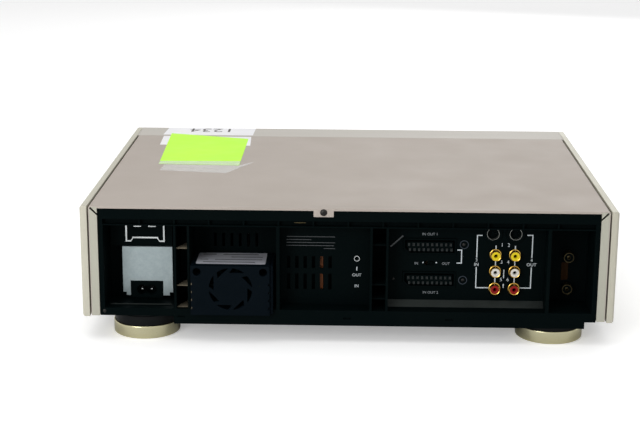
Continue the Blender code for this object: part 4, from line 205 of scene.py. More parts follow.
world = bpy.data.worlds.new("studio")
bpy.context.scene.world = world
world.use_nodes = True
air = Nodes(world.node_tree, "Background")
rays = [air.node("ShaderNodeLightPath", output=kind)
        for kind in ("Is Camera Ray", "Is Glossy Ray", "Is Transmission Ray")]
air.feed("Strength", air.spread(rays[0] + rays[1] + rays[2], 0, 1, WORLD_STRENGTH, 1))
air.shader.inputs["Color"].default_value = (1, 1, 1, 1)

for name, (place, size, power) in LAMPS.items():
    lamp_data = bpy.data.lights.new(name, "AREA")
    lamp_data.size = size
    lamp_data.energy = power
    lamp = bpy.data.objects.new(name, lamp_data)
    lamp.location = place
    lamp.rotation_euler = (LAMP_AIM - Vector(place)).to_track_quat("-Z", "Y").to_euler()
    bpy.context.scene.collection.objects.link(lamp)

# Top cover: painted sheet steel folded down over both sides, champagne with a fine grain.
# At the back it turns down in a lip and a screwed tab. The two strips down its rear edges, with
# mitred gaps at the corners, are a piece of their own: a lighter copy of the paint, painted light.
COVER_LOW, COVER_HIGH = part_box("top_cover")
PAPER_ROOM = 0.3 * MM          # the top lies this far down, so that what is stuck on it fits the box
SHEET = 1.0 * MM
FOLD = 1.8 * MM
STRIP = 7.5 * MM
STRIP_PROUD = 0.03 * MM
MITRE_GAP = 0.9 * MM
LIP_DROP = 2.0 * MM
TAB_X = 21.5 * MM
TAB_WIDTH = 17.5 * MM
TAB_DROP = 7.5 * MM
TAB_ROUND = 0.4 * MM
TOP = COVER_HIGH.z - PAPER_ROOM
REAR = COVER_HIGH.y
FRONT = -REAR
BEVEL_ANGLE = math.radians(35)
SHARP_ANGLE = math.radians(40)


def settle(item):
    """Apply a piece's modifiers to its mesh."""
    old = item.data
    graph = bpy.context.evaluated_depsgraph_get()
    new = bpy.data.meshes.new_from_object(item.evaluated_get(graph))
    item.modifiers.clear()
    item.data = new
    bpy.data.meshes.remove(old)
    return item


def combine(item, others, operation):
    """Cut other solids out of a piece, or weld them on, and use them up."""
    for other in others:
        step = item.modifiers.new("step", "BOOLEAN")
        step.operation = operation
        step.object = other
        step.solver = "EXACT"
    settle(item)
    for other in others:
        data = other.data
        bpy.data.objects.remove(other)
        bpy.data.meshes.remove(data)
    return item


def weld(item, *others):
    return combine(item, others, "UNION")


def carve(item, *others):
    return combine(item, others, "DIFFERENCE")


def on_axis(axis, a, b, along):
    """A place from two values across an axis and one along it."""
    return {"X": (along, a, b), "Y": (a, along, b), "Z": (a, b, along)}[axis]


def add_prism(maker, outline, start, end, axis="Z"):
    """A solid from an outline of two-value points, between two places along an axis."""
    near = [maker.verts.new(on_axis(axis, a, b, start)) for a, b in outline]
    far = [maker.verts.new(on_axis(axis, a, b, end)) for a, b in outline]
    maker.faces.new(near)
    maker.faces.new(far)
    for index in range(len(outline)):
        after = (index + 1) % len(outline)
        maker.faces.new((near[index], near[after], far[after], far[index]))


def add_lathe(maker, profile, centre, axis, steps):
    """A turned solid: points of radius and height, closed into a ring or ended on the axis."""
    rings = []
    for radius, along in profile:
        if radius == 0:
            rings.append([maker.verts.new(on_axis(axis, *centre, along))])
            continue
        turns = [math.tau * step / steps for step in range(steps)]
        places = [(centre[0] + radius * math.cos(turn), centre[1] + radius * math.sin(turn))
                  for turn in turns]
        rings.append([maker.verts.new(on_axis(axis, *place, along)) for place in places])
    closed = all(radius for radius, along in profile)
    for index in range(len(rings) if closed else len(rings) - 1):
        first, second = rings[index], rings[(index + 1) % len(rings)]
        for step in range(steps):
            after = (step + 1) % steps
            corners = [first[step % len(first)], first[after % len(first)],
                       second[after % len(second)], second[step % len(second)]]
            corners = list(dict.fromkeys(corners))
            if len(corners) > 2:
                maker.faces.new(corners)


def prisms(outlines, start, end, axis="Z"):
    """Solids from several outlines that stay apart, as one object."""
    maker = bmesh.new()
    for outline in outlines:
        add_prism(maker, outline, start, end, axis)
    return made(maker)


def prism(outline, start, end, axis="Z"):
    return prisms([outline], start, end, axis)


def blocks(*sizes):
    """Boxes that stay apart, each given as its x, y and z ranges, as one object."""
    maker = bmesh.new()
    for x, y, z in sizes:
        add_prism(maker, [(x[0], y[0]), (x[1], y[0]), (x[1], y[1]), (x[0], y[1])], *z)
    return made(maker)


def lathes(profile, centres, axis="Y", steps=32):
    """The same turned solid at several centres, as one object."""
    maker = bmesh.new()
    for centre in centres:
        add_lathe(maker, profile, centre, axis, steps)
    return made(maker)


def arc(centre, radius, start, end, steps):
    """Points of an arc, its angles in degrees."""
    turns = [math.radians(start + (end - start) * step / steps) for step in range(steps + 1)]
    return [(centre[0] + radius * math.cos(turn), centre[1] + radius * math.sin(turn)) for turn in turns]


def round_rectangle(x, z, radius, steps=5):
    """Outline of a rectangle between two values on each axis, with round corners."""
    corners = ((x[1] - radius, z[1] - radius, 0), (x[0] + radius, z[1] - radius, 90),
               (x[0] + radius, z[0] + radius, 180), (x[1] - radius, z[0] + radius, 270))
    return [point for a, b, turn in corners for point in arc((a, b), radius, turn, turn + 90, steps)]


def soften(item, width, segments=2, chosen=None):
    """Round a piece's sharp edges, or only the edges whose ends are both chosen."""
    bevel = item.modifiers.new("edges", "BEVEL")
    bevel.width = width
    bevel.segments = segments
    if chosen:
        weights = item.data.attributes.new("bevel_weight_edge", "FLOAT", "EDGE")
        for edge in item.data.edges:
            ends = [item.data.vertices[index].co for index in edge.vertices]
            weights.data[edge.index].value = float(all(chosen(end) for end in ends))
        bevel.limit_method = "WEIGHT"
    else:
        bevel.limit_method = "ANGLE"
        bevel.angle_limit = BEVEL_ANGLE
    return settle(item)


def present(item, name, finish, body="cabinet", stands_for=()):
    """Give a piece its name, finish, shading and body, and hide the nodes that it stands for."""
    item.name = name
    item.data.name = name
    item.data.materials.clear()
    item.data.materials.append(finish.material)
    item.data.shade_smooth()
    item.data.set_sharp_from_angle(angle=SHARP_ANGLE)
    normals = item.modifiers.new("flat_faces", "WEIGHTED_NORMAL")
    normals.keep_sharp = True
    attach(item, body)
    if stands_for:
        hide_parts(*stands_for)
    return item


champagne = Finish("champagne", linear(172, 163, 155), 0.62, Specular_IOR_Level=0.2)
champagne.weather(9, linear(156, 147, 138), 0.22, 2600, 0.03 * MM)

inner = COVER_HIGH.x - SHEET
shell = [(COVER_HIGH.x, COVER_LOW.z)] + arc((COVER_HIGH.x - FOLD, TOP - FOLD), FOLD, 0, 90, 6)
shell += [(-x, z) for x, z in reversed(shell)]
hollow = [(inner, COVER_LOW.z)] + arc((COVER_HIGH.x - FOLD, TOP - FOLD), FOLD - SHEET, 0, 90, 6)
hollow += [(-x, z) for x, z in reversed(hollow)]
cover = prism(shell + hollow[::-1], COVER_LOW.y, REAR, "Y")
back_sheet = (REAR - SHEET, REAR)
edge = COVER_HIGH.x
strip_inner = edge - STRIP
sheet_middle = TOP - SHEET / 2
lip = blocks(((-strip_inner - SHEET, strip_inner + SHEET), back_sheet, (TOP - LIP_DROP, sheet_middle)))
tab = prism(round_rectangle((TAB_X - TAB_WIDTH / 2, TAB_X + TAB_WIDTH / 2), (TOP - TAB_DROP, sheet_middle),
                            TAB_ROUND, 3), *back_sheet, "Y")
weld(cover, lip, tab)
soften(cover, 0.2 * MM)
present(cover, "top_cover_sheet", champagne, stands_for=["top_cover"])

corner = [(edge - 2 * MITRE_GAP, sheet_middle), (strip_inner, sheet_middle),
          (strip_inner, TOP - STRIP + MITRE_GAP)]
strip = [(edge - SHEET / 2, COVER_LOW.z), (strip_inner, COVER_LOW.z),
         (strip_inner, TOP - STRIP - MITRE_GAP), (edge - SHEET / 2, TOP - 2 * MITRE_GAP)]
turned_down = [[(side * x, z) for x, z in outline] for side in (1, -1) for outline in (corner, strip)]
# A lighter copy of the cover's paint: painted light on the strips' upright faces.
lit_strip_paint = Finish("champagne", linear(172, 171, 158), 0.55, name="cover_strip_lit_copy_finish",
                     Specular_IOR_Level=0.2)
lit_strip_paint.weather(9, linear(158, 157, 143), 0.25, 2600, 0.03 * MM)
strips = soften(prisms(turned_down, REAR - SHEET, REAR + STRIP_PROUD, "Y"), 0.2 * MM)
present(strips, "top_cover_strips", lit_strip_paint)

# Cover screw: a black zinc cross-head machine screw with a low domed head.
# It goes through the tab into the rear frame, and is the only screw in the cover.
SCREW_LOW, SCREW_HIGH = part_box("cover_screw")
CROSS_ARM = 0.13               # the cross's half width and reach, as shares of the head's radius
CROSS_REACH = 0.55
CROSS_FLOOR = 0.45             # where the cross ends, as a share of the head's height


def domed_screw(centre, seat, radius, height, back):
    """A cross-head screw that faces the rear, from the end of its shank outwards."""
    dome = [(radius * math.cos(math.radians(turn)), seat + height * math.sin(math.radians(turn)))
            for turn in range(0, 90, 15)]
    head = lathes([(0, back), (radius / 2, back), (radius / 2, seat), *dome, (0, seat + height)], [centre])
    arm = CROSS_ARM * radius
    reach = CROSS_REACH * radius
    depth = (seat + CROSS_FLOOR * height, seat + 2 * height)
    x, z = centre
    return carve(head, blocks(((x - reach, x + reach), depth, (z - arm, z + arm))),
                 blocks(((x - arm, x + arm), depth, (z - reach, z + reach))))


black_screw = Finish("screw", linear(26, 27, 28), 0.35, 0.8)
black_screw.weather(400, linear(60, 58, 54), 0.4, 3000, 0.02 * MM)
screw_centre = ((SCREW_LOW.x + SCREW_HIGH.x) / 2, (SCREW_LOW.z + SCREW_HIGH.z) / 2)
screw = domed_screw(screw_centre, REAR, (SCREW_HIGH.x - SCREW_LOW.x) / 2, SCREW_HIGH.y - REAR, SCREW_LOW.y)
present(screw, "cover_screw_head", black_screw, stands_for=["cover_screw"])

# Side panels: thick pale panels with rounded outer edges, held off the cover by pads,
# so that a narrow dark groove runs round them.
PANEL_INNER = 228.5 * MM
SIDE_ROUND = 2.5 * MM
PAD_GAP = 0.3 * MM
PAD_HALF = 10 * MM
PAD_INSET = 60 * MM
PAD_MARGIN = 16 * MM
side_paint = Finish("side_panel", linear(186, 183, 168), 0.5, 0.1)
side_paint.weather(6, linear(170, 167, 150), 0.3, 1800, 0.03 * MM, stretch=(1, 1, 0.35))
for name in ("right", "left"):
    low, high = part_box("side_panel_" + name)
    side = 1 if high.x > 0 else -1
    outer = max(high.x, -low.x)
    panel = blocks((sorted((side * PANEL_INNER, side * outer)), (FRONT, REAR), (low.z, TOP)))
    soften(panel, SIDE_ROUND, 6, lambda end, side=side: side * end.x > PANEL_INNER + SHEET)
    soften(panel, 0.4 * MM)
    pad_x = sorted((side * (COVER_HIGH.x + PAD_GAP), side * (PANEL_INNER + SHEET)))
    pads = [blocks((pad_x, (place - PAD_HALF, place + PAD_HALF), (low.z + PAD_MARGIN, TOP - PAD_MARGIN)))
            for place in (FRONT + PAD_INSET, REAR - PAD_INSET)]
    weld(panel, *pads)
    present(panel, "side_panel_shell_" + name, side_paint, stands_for=["side_panel_" + name])

# Feet: a turned ring in pale gold metal, brushed round, with a black plastic collar above it
# that carries it, and a black felt pad set into its underside.
FOOT_RADIUS = 30 * MM
FOOT_ROUND = 1.2 * MM
RING_TOP = 11.6 * MM
RING_ROUND = 0.9 * MM
RING_SEAT = RING_TOP - 2 * MM
COLLAR_RADIUS = 28.8 * MM
COLLAR_TOP = 22.7 * MM
COLLAR_EDGE = ((-1.6, 0.05), (-0.4, 0.05), (0, 0.8))    # millimetres from its radius and the ring's top
COLLAR_GROOVE = ((0, -2.5), (-0.6, -1.8), (-0.6, 0))    # millimetres from its radius and its own top
PAD_RADIUS = 24 * MM
PAD_LIFT = 0.6 * MM
gold = Finish("foot", linear(206, 202, 170), 0.22, 1.0)
gold.weather(12, linear(190, 178, 130), 0.3, 1500, 0.01 * MM, (0.8, 1.2), (1, 1, 5))
collar_plastic = Finish("foot", linear(8, 10, 11), 0.42, name="foot_collar_finish", Specular_IOR_Level=0.1)
collar_plastic.weather(60, linear(14, 16, 17), 0.4, 1500, 0.03 * MM)
felt = Finish("foot", linear(38, 38, 40), 0.95, name="foot_felt_finish")
felt.weather(90, linear(62, 60, 58), 0.6, 2500, 0.2 * MM)


def beside(first, second, points):
    """Two-value points that are given in millimetres from a place in metres."""
    return [(first + a * MM, second + b * MM) for a, b in points]


for node in ("foot_front_left", "foot_front_right", "foot_rear_left", "foot_rear_right"):
    low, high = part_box(node)
    centre = [((low.x + high.x) / 2, (low.y + high.y) / 2)]
    outline = arc((FOOT_RADIUS - FOOT_ROUND, FOOT_ROUND), FOOT_ROUND, -90, 0, 4)
    outline += arc((FOOT_RADIUS - RING_ROUND, RING_TOP - RING_ROUND), RING_ROUND, 0, 90, 4)
    ring = lathes([(PAD_RADIUS, PAD_LIFT), (PAD_RADIUS + PAD_LIFT, 0), *outline,
                   (COLLAR_RADIUS - 1.5 * MM, RING_TOP), (COLLAR_RADIUS - 1.5 * MM, RING_SEAT),
                   (PAD_RADIUS, RING_SEAT)], centre, "Z", 128)
    present(ring, node + "_ring", gold, stands_for=[node])
    collar = lathes([(0, RING_SEAT), (COLLAR_RADIUS - 1.6 * MM, RING_SEAT),
                     *beside(COLLAR_RADIUS, RING_TOP, COLLAR_EDGE),
                     *beside(COLLAR_RADIUS, COLLAR_TOP, COLLAR_GROOVE), (0, COLLAR_TOP)], centre, "Z", 128)
    present(collar, node + "_collar", collar_plastic)
    disc = lathes([(0, 0), *beside(PAD_RADIUS, 0, ((-0.4, 0), (-0.1, 0.3))),
                   (PAD_RADIUS - 0.1 * MM, RING_SEAT), (0, RING_SEAT)], centre, "Z", 64)
    present(disc, node + "_pad", felt)

# Rear frame: one black moulding with five bays, fins, vents and a ribbed groove, its edges a
# little broken. The straight fins of the post beside the mains bay make way for the gussets
# below, and three small latches fill the notches in the lower band.


def mm(*values):
    """Values given in millimetres, in metres."""
    return tuple(value * MM for value in values)


POST_POCKET = mm(141.35, 151.25)
POCKET_HEIGHT = mm(30.2, 100)
DEEP_BACK = 136.5 * MM
LATCH_WIDTH = 7.4 * MM
LATCH_PLACES = mm(147.5, 0.2, -90)
LATCH_RANGES = (mm(170, 172.6), mm(22, 23.6))    # in y and z
SAME_POINT = 0.002 * MM
FLAT_ANGLE = math.radians(0.5)
black = Finish("black_plastic", linear(2, 8, 9), 0.5, Specular_IOR_Level=0.015)
black.weather(14, linear(6, 12, 12), 0.5, 1400, 0.05 * MM)


def copy_of(node):
    """A node's own solid as a clean mesh, to be rounded or carved further."""
    maker = bmesh.new()
    maker.from_mesh(frame["nodes"][node].data)
    bmesh.ops.remove_doubles(maker, verts=maker.verts, dist=SAME_POINT)
    bmesh.ops.dissolve_limit(maker, angle_limit=FLAT_ANGLE, verts=maker.verts, edges=maker.edges)
    return made(maker)


rear_frame = copy_of("rear_frame")
carve(rear_frame, blocks((POST_POCKET, (DEEP_BACK, REAR), POCKET_HEIGHT)))
soften(rear_frame, 0.25 * MM, 1)
present(rear_frame, "rear_frame_moulding", black, stands_for=["rear_frame"])
latches = blocks(*[((x - LATCH_WIDTH / 2, x + LATCH_WIDTH / 2), *LATCH_RANGES) for x in LATCH_PLACES])
present(soften(latches, 0.2 * MM, 1), "rear_frame_latches", black)

# Front panel: an aluminium extrusion with its openings milled out, in a paler champagne.
# Its top lies level with the cover's, with a fine seam between the two.
FASCIA_LEVEL = ((-0.3, 0.3), (-0.2, -0.1), (TOP, TOP + 0.01))    # what is cut off above the cover
pale = Finish("champagne_front", linear(188, 184, 177), 0.6, Specular_IOR_Level=0.2)
pale.weather(7, linear(174, 169, 161), 0.25, 2200, 0.03 * MM, stretch=(0.2, 1, 1))
fascia = copy_of("front_fascia")
carve(fascia, blocks(FASCIA_LEVEL))
soften(fascia, 0.35 * MM)
present(fascia, "front_fascia_panel", pale, stands_for=["front_fascia"])

# Mains bay: a plated shield with the figure-8 mains inlet clipped into its foot, and above it
# a bent wire clip on a black block. Three gussets brace the post beside the bay, their tops pale
# as painted light where the light falls on them, and the edge of its floor is worn.
INLET_CENTRE = mm(181.5, 38.45)
INLET_HOLE = 4.7 * MM
INLET_PITCH = 8.6 * MM
INLET_DEPTH = 11 * MM
WAIST_HALF = 0.72 * INLET_HOLE
PIN_RADIUS = 1.1 * MM
CLIP_WIRE = 1.3 * MM
CLIP_FOOT = 4.6 * MM
CLIP_BAR = 88.1 * MM
CLIP_TIP = 6.7 * MM
CLIP_TIPS = mm(185.1, 172.1)
CLIP_TIP_HEIGHT = mm(97.6, 98.6)
CLIP_BLOCK = (mm(157.4, 210.7), mm(136, 146.6), mm(80, 105.4))
FLOOR_EDGE = (mm(157, 212), mm(163, 163.8), mm(29.9, 31))
GUSSET_TOPS = mm(85.6, 51.4, 31.6)
GUSSET_Y = mm(148, 171)
GUSSET_SHEET = 1.2 * MM
steel_plate = Finish("bright_steel", linear(205, 210, 210), 0.24, 0.9)
steel_plate.weather(60, linear(150, 154, 154), 0.4, 1200, 0.01 * MM)


def tube(outer, start, end, inner=0):
    """The outline to turn for a plain rod or hole, or for a tube where it has an inner radius."""
    return [(inner, start), (outer, start), (outer, end), (inner, end)]


low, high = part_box("mains_inlet")
holes = [(INLET_CENTRE[0] + side * INLET_PITCH / 2, INLET_CENTRE[1]) for side in (1, -1)]
floor_y = high.y - INLET_DEPTH
inlet = soften(blocks(((low.x, high.x), (low.y, high.y), (low.z, high.z))), 0.5 * MM)
waist = blocks(((holes[1][0], holes[0][0]), (floor_y, high.y + MM),
                (INLET_CENTRE[1] - WAIST_HALF, INLET_CENTRE[1] + WAIST_HALF)))
carve(inlet, *[lathes(tube(INLET_HOLE, floor_y, high.y + MM), [hole]) for hole in holes], waist)
present(inlet, "mains_inlet_body", black, stands_for=["mains_inlet"])
pins = lathes([(0, floor_y - MM), (PIN_RADIUS, floor_y - MM), (PIN_RADIUS, high.y - 2.6 * MM),
               (0.6 * PIN_RADIUS, high.y - 2 * MM), (0, high.y - 1.9 * MM)], holes, steps=24)
present(pins, "mains_inlet_pins", steel_plate)

# Pale plastic that is painted light: the lit tops of the gussets, and highlights in the fan's notches.
painted_light_plastic = Finish("black_plastic", linear(104, 97, 82), 0.8, name="painted_light_plastic_finish",
               Specular_IOR_Level=0.1)
painted_light_plastic.weather(60, linear(60, 56, 48), 0.8, 1400, 0.05 * MM)
for index, z in enumerate(GUSSET_TOPS):
    corners = [(POST_POCKET[1], GUSSET_Y[1]), (POST_POCKET[0], GUSSET_Y[1]), (POST_POCKET[0], GUSSET_Y[0])]
    gusset = soften(prism(corners, z - GUSSET_SHEET, z), 0.2 * MM, 1)
    present(gusset, "post_gusset_%d" % index, painted_light_plastic)

clip_plastic = Finish("black_plastic", linear(50, 57, 64), 0.55, name="clip_block_finish",
                      Specular_IOR_Level=0.08)
clip_plastic.weather(30, linear(58, 65, 72), 0.4, 1600, 0.05 * MM)
present(soften(blocks(CLIP_BLOCK), 0.4 * MM), "clip_block", clip_plastic)
worn_plastic = Finish("black_plastic", linear(17, 21, 21), 0.5, name="worn_plastic_finish",
                      Specular_IOR_Level=0.1)
worn_plastic.weather(18, linear(36, 41, 39), 0.8, 1400, 0.05 * MM)
present(soften(blocks(FLOOR_EDGE), 0.2 * MM, 1), "mains_floor_edge", worn_plastic)
low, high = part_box("shield_clip")
depth = (low.y, high.y)
bar = (CLIP_BAR - CLIP_WIRE / 2, CLIP_BAR + CLIP_WIRE / 2)
wires = []
for x, inward in ((high.x, -1), (low.x, 1)):
    foot = x + inward * CLIP_FOOT
    bend = x + inward * 1.5 * CLIP_FOOT
    wires.append(blocks((sorted((x, x + inward * CLIP_WIRE)), depth, (low.z, high.z))))
    wires.append(blocks((sorted((x, foot)), depth, (low.z, low.z + CLIP_WIRE))))
    slope = [(foot, low.z), (foot, low.z + CLIP_WIRE), (bend, bar[1]), (bend, bar[0])]
    wires.append(prism(slope, *depth, "Y"))
clip = blocks(((low.x + 1.3 * CLIP_FOOT, high.x - 1.3 * CLIP_FOOT), depth, bar))
weld(clip, *wires)
soften(clip, 0.2 * MM)
present(clip, "shield_clip_wire", steel_plate, stands_for=["shield_clip"])
dashes = soften(blocks(*[((x, x + CLIP_TIP), (low.y - 0.4 * MM, low.y + 0.3 * MM), CLIP_TIP_HEIGHT)
                         for x in CLIP_TIPS]), 0.2 * MM)
present(dashes, "shield_clip_tips", steel_plate)

# Fan module: a black moulded box pushed into its bay, with eight swept slots over the rotor,
# notches down its sides and a trim along one of them. Small pale blocks in one side's notches are
# painted highlights. The silver label on its top has plain ruled lines.
FAN_CENTRE = mm(102.8, 51)
FAN_PLATE = 3.5 * MM
ROTOR_RING = mm(12, 20.5)
SWEEP_OUTER = 19.2 * MM
SWEEP_INNER = 14.9 * MM
SWEEP_START = 95
SWEEP_TURN = 34
SWEEP_PITCH = 45
FAN_HOLE = 3.6 * MM
FAN_HOLE_INSET = 5.6 * MM
FAN_HOLE_DEPTH = 16 * MM
FAN_NOTCHES = mm(33.1, 40.5, 47.8, 55.2)
NOTCH_HALF = 1.1 * MM
NOTCH_WIDTH = 1.3 * MM
TRIM_WIDTH = 2.9 * MM
LABEL_RANGES = (mm(72.5, 133.8), mm(139.7, 174.3))
LABEL_SHEET = 0.12 * MM
# Each line's left end, right end and place on the label, in millimetres.
FAN_RULES = ((80, 112, 144), (118, 130, 144), (76, 104, 152), (76, 118, 160), (124, 131, 160),
             (82, 128, 168))
fan_plastic = Finish("black_plastic", linear(3, 9, 14), 0.45, name="fan_plastic_finish",
                     Specular_IOR_Level=0.025)
fan_plastic.weather(30, linear(7, 14, 20), 0.4, 1600, 0.05 * MM)
low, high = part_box("fan_housing")
sweeps = []
for turn in range(SWEEP_START, SWEEP_START + 360, SWEEP_PITCH):
    point = turn + SWEEP_PITCH - 1
    outline = arc((0, 0), SWEEP_OUTER, turn, turn + SWEEP_TURN, 6)
    outline += arc((0, 0), SWEEP_INNER, point, point, 1)[:1]
    sweeps.append([(FAN_CENTRE[0] - a, FAN_CENTRE[1] + b) for a, b in outline])
fan_box = copy_of("fan_housing")
weld(fan_box, lathes(tube(ROTOR_RING[1], high.y - FAN_PLATE, high.y, ROTOR_RING[0]), [FAN_CENTRE], steps=64))
notches = blocks(*[(x, (high.y - 1.8 * MM, high.y + MM), (z - NOTCH_HALF, z + NOTCH_HALF))
                   for z in FAN_NOTCHES
                   for x in ((low.x - MM, low.x + NOTCH_WIDTH), (high.x - NOTCH_WIDTH, high.x + MM))])
corner_holes = [lathes(tube(FAN_HOLE, high.y - FAN_HOLE_DEPTH, high.y + MM), [(x, high.z - FAN_HOLE_INSET)])
                for x in (low.x + FAN_HOLE_INSET, high.x - FAN_HOLE_INSET)]
carve(fan_box, *corner_holes, prisms(sweeps, high.y - FAN_PLATE - MM, high.y + MM, "Y"), notches)
soften(fan_box, 0.3 * MM)
present(fan_box, "fan_housing_shell", fan_plastic, stands_for=["fan_housing"])
silver = Finish("black_plastic", linear(205, 207, 214), 0.35, 0.3, name="silver_label_finish")
silver.weather(40, linear(176, 178, 190), 0.4, 1200, 0.01 * MM)
label = prism(round_rectangle(*LABEL_RANGES, 1.2 * MM), high.z, high.z + LABEL_SHEET)
present(label, "fan_label", silver)
label_rules = blocks(*[(mm(left, right), mm(place, place + 1.4), (high.z + 0.1 * MM, high.z + 0.16 * MM))
                       for left, right, place in FAN_RULES])
present(label_rules, "fan_label_rules", fan_plastic)
trim = blocks(((low.x - TRIM_WIDTH, low.x), (low.y + 2 * MM, high.y - 3 * MM),
               (low.z + 0.5 * MM, high.z - 0.5 * MM)))
present(soften(trim, 0.8 * MM), "fan_side_trim", fan_plastic)
# Small pale blocks in the notches on one side: painted highlights.
notch_highlights = blocks(*[((high.x - 1.2 * MM, high.x - 0.4 * MM), (high.y - 1.6 * MM, high.y - 0.2 * MM),
                  (z - 0.9 * MM, z + 0.9 * MM)) for z in FAN_NOTCHES])
present(notch_highlights, "fan_notch_highlights", painted_light_plastic)

# Rear sockets: two black 21-pin sockets, six gold phono jacks with coloured rings, two round
# video sockets, a small control jack, a slide switch and two aerial sockets. In the outlines
# to turn, heights are from the rim, face or tip of the piece.
PIN_PITCH = 4.1 * MM
SOCKET_X = -72.5 * MM
SOCKET_ROWS = ((8.8 * MM, 0), (4.1 * MM, 0.8 * MM))    # each row's rise, and its step aside
JACK_X = mm(-130.8, -147.9)
JACK_SHORT = 2 * MM
JACK_FLARE = mm(155.1, 156.1, 156.3)    # where the shells' wide foot starts and narrows again
JACK_ROWS = {"red": (47.1 * MM, (136, 12, 10)), "white": (62.9 * MM, (214, 212, 204)),
             "yellow": (78.1 * MM, (222, 200, 22))}
JACK_RING = ((1.6, -6), (4.0, -6), (4.0, -0.5), (3.5, -0.2), (2, -0.2), (1.6, -0.6))
VIDEO_PLACES = [mm(-128.2, 97), mm(-148.2, 97)]
VIDEO_FLANGE = ((5.5, -6), (8.2, -6), (8.2, -0.3), (7.9, 0), (5.7, 0), (5.5, -0.2))
VIDEO_CONTACTS = ((1.7, 1.2), (-1.7, 1.2), (2.6, -1.4), (-2.6, -1.4))
CONTROL_COLLAR = ((1.9, -4), (2.8, -4), (2.8, -0.3), (2.5, 0), (2.1, 0), (1.9, -0.2))
AERIAL_PLACES = [mm(-197.2, 43.2), mm(-197.6, 72.8)]
AERIAL_WALL = 133.2 * MM
AERIAL_RIM = ((4.7, -0.5), (4.4, 0), (4.1, 0), (3.9, -0.2))
AERIAL_CORE = ((3.9, -2), (2.2, -2), (1.9, -1.2), (0.9, -1.2))
AERIAL_CONTACT = ((0.5, -4), (1.7, -4), (1.7, -0.6), (1.3, -0.4), (0.5, -1.4))
AERIAL_WASHER = [mm(3.9, 134.6), mm(7.6, 134.6), mm(7.6, 135.5), mm(3.9, 135.9)]
blade_metal = Finish("black_plastic", linear(44, 50, 50), 0.5, 0.3, name="blade_finish")
blade_metal.weather(200, linear(28, 32, 32), 0.5, 2500, 0.01 * MM)
for level_name in ("lower", "upper"):
    low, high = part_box("scart_socket_" + level_name)
    socket_body = copy_of("scart_socket_" + level_name)
    places = [(SOCKET_X + (index - 4.5) * PIN_PITCH - aside, low.z + rise)
              for rise, aside in SOCKET_ROWS for index in range(10)]
    carve(socket_body, blocks(*[((x - 0.9 * MM, x + 0.9 * MM), (high.y - 4 * MM, high.y + MM),
                                 (z - 1.6 * MM, z + 1.6 * MM)) for x, z in places]))
    soften(socket_body, 0.15 * MM, 1)
    present(socket_body, "scart_body_" + level_name, black, stands_for=["scart_socket_" + level_name])
    blades = blocks(*[((x + step - 0.25 * MM, x + step + 0.25 * MM), (high.y - 4.2 * MM, high.y - 0.4 * MM),
                       (z - 1.3 * MM, z + 1.3 * MM)) for x, z in places for step in mm(-0.5, 0.5)])
    present(blades, "scart_blades_" + level_name, blade_metal)

gold_plate = Finish("brass", linear(222, 184, 92), 0.22, 1.0)
gold_plate.weather(80, linear(150, 112, 48), 0.6, 1500, 0.01 * MM)
low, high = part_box("av_jack_block")
rim = high.y - JACK_SHORT
jack_places = [(x, z) for x in JACK_X for z, colour in JACK_ROWS.values()]
shells = lathes([(3.9 * MM, low.y + 8 * MM), (5.1 * MM, JACK_FLARE[0]), (5.1 * MM, JACK_FLARE[1]),
                 (4.6 * MM, JACK_FLARE[2]), *beside(0, rim, ((4.6, -0.4), (4.3, 0), (3.9, -0.2)))],
                jack_places, steps=48)
present(shells, "phono_jack_shells", gold_plate, stands_for=["av_jack_block"])
bores = lathes(tube(1.7 * MM, rim - 7 * MM, rim - 5 * MM), jack_places)
present(bores, "phono_jack_bores", black)
for colour_name, (z, colour) in JACK_ROWS.items():
    ring_plastic = Finish("brass", linear(*colour), 0.4, name=colour_name + "_ring_finish",
                          Specular_IOR_Level=0.2)
    ring_plastic.weather(200, tuple(0.7 * part for part in linear(*colour)), 0.4, 2500, 0.01 * MM)
    rings = lathes(beside(0, rim, JACK_RING), [(x, z) for x in JACK_X], steps=48)
    present(rings, "phono_rings_" + colour_name, ring_plastic)

low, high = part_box("s_video_block")
face = high.y
flanges = lathes(beside(0, face, VIDEO_FLANGE), VIDEO_PLACES, steps=64)
present(flanges, "video_socket_flanges", black, stands_for=["s_video_block"])
liners = lathes(tube(5.5 * MM, face - 6 * MM, face - 0.5 * MM, 5.2 * MM), VIDEO_PLACES, steps=64)
dull_metal = Finish("black_plastic", linear(176, 178, 172), 0.35, 0.9, name="dull_metal_finish")
dull_metal.weather(120, linear(110, 112, 108), 0.6, 1500, 0.01 * MM)
present(liners, "video_socket_liners", dull_metal)
cores = lathes(tube(5 * MM, face - 7 * MM, face - 5 * MM), VIDEO_PLACES)
contact_places = [place for x, z in VIDEO_PLACES for place in beside(x, z, VIDEO_CONTACTS)]
carve(cores, lathes(tube(0.55 * MM, face - 8 * MM, face), contact_places, steps=16))
present(cores, "video_socket_cores", black)

low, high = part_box("control_jack")
centre = [((low.x + high.x) / 2, (low.z + high.z) / 2)]
collar = lathes(beside(0, high.y, CONTROL_COLLAR), centre)
present(collar, "control_jack_collar", steel_plate, stands_for=["control_jack"])
plug = lathes(tube(1.9 * MM, high.y - 6 * MM, high.y - 3 * MM), centre)
present(plug, "control_jack_bore", black)

knob = copy_of("output_switch_knob")
low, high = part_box("output_switch_knob")
middle = (low.x + high.x) / 2
carve(knob, blocks(*[((middle + step - 0.25 * MM, middle + step + 0.25 * MM),
                      (high.y - 0.5 * MM, high.y + MM), (low.z - MM, high.z + MM)) for step in (-MM, 0, MM)]))
present(soften(knob, 0.1 * MM, 1), "output_switch_cap", black, "output_switch", ["output_switch_knob"])

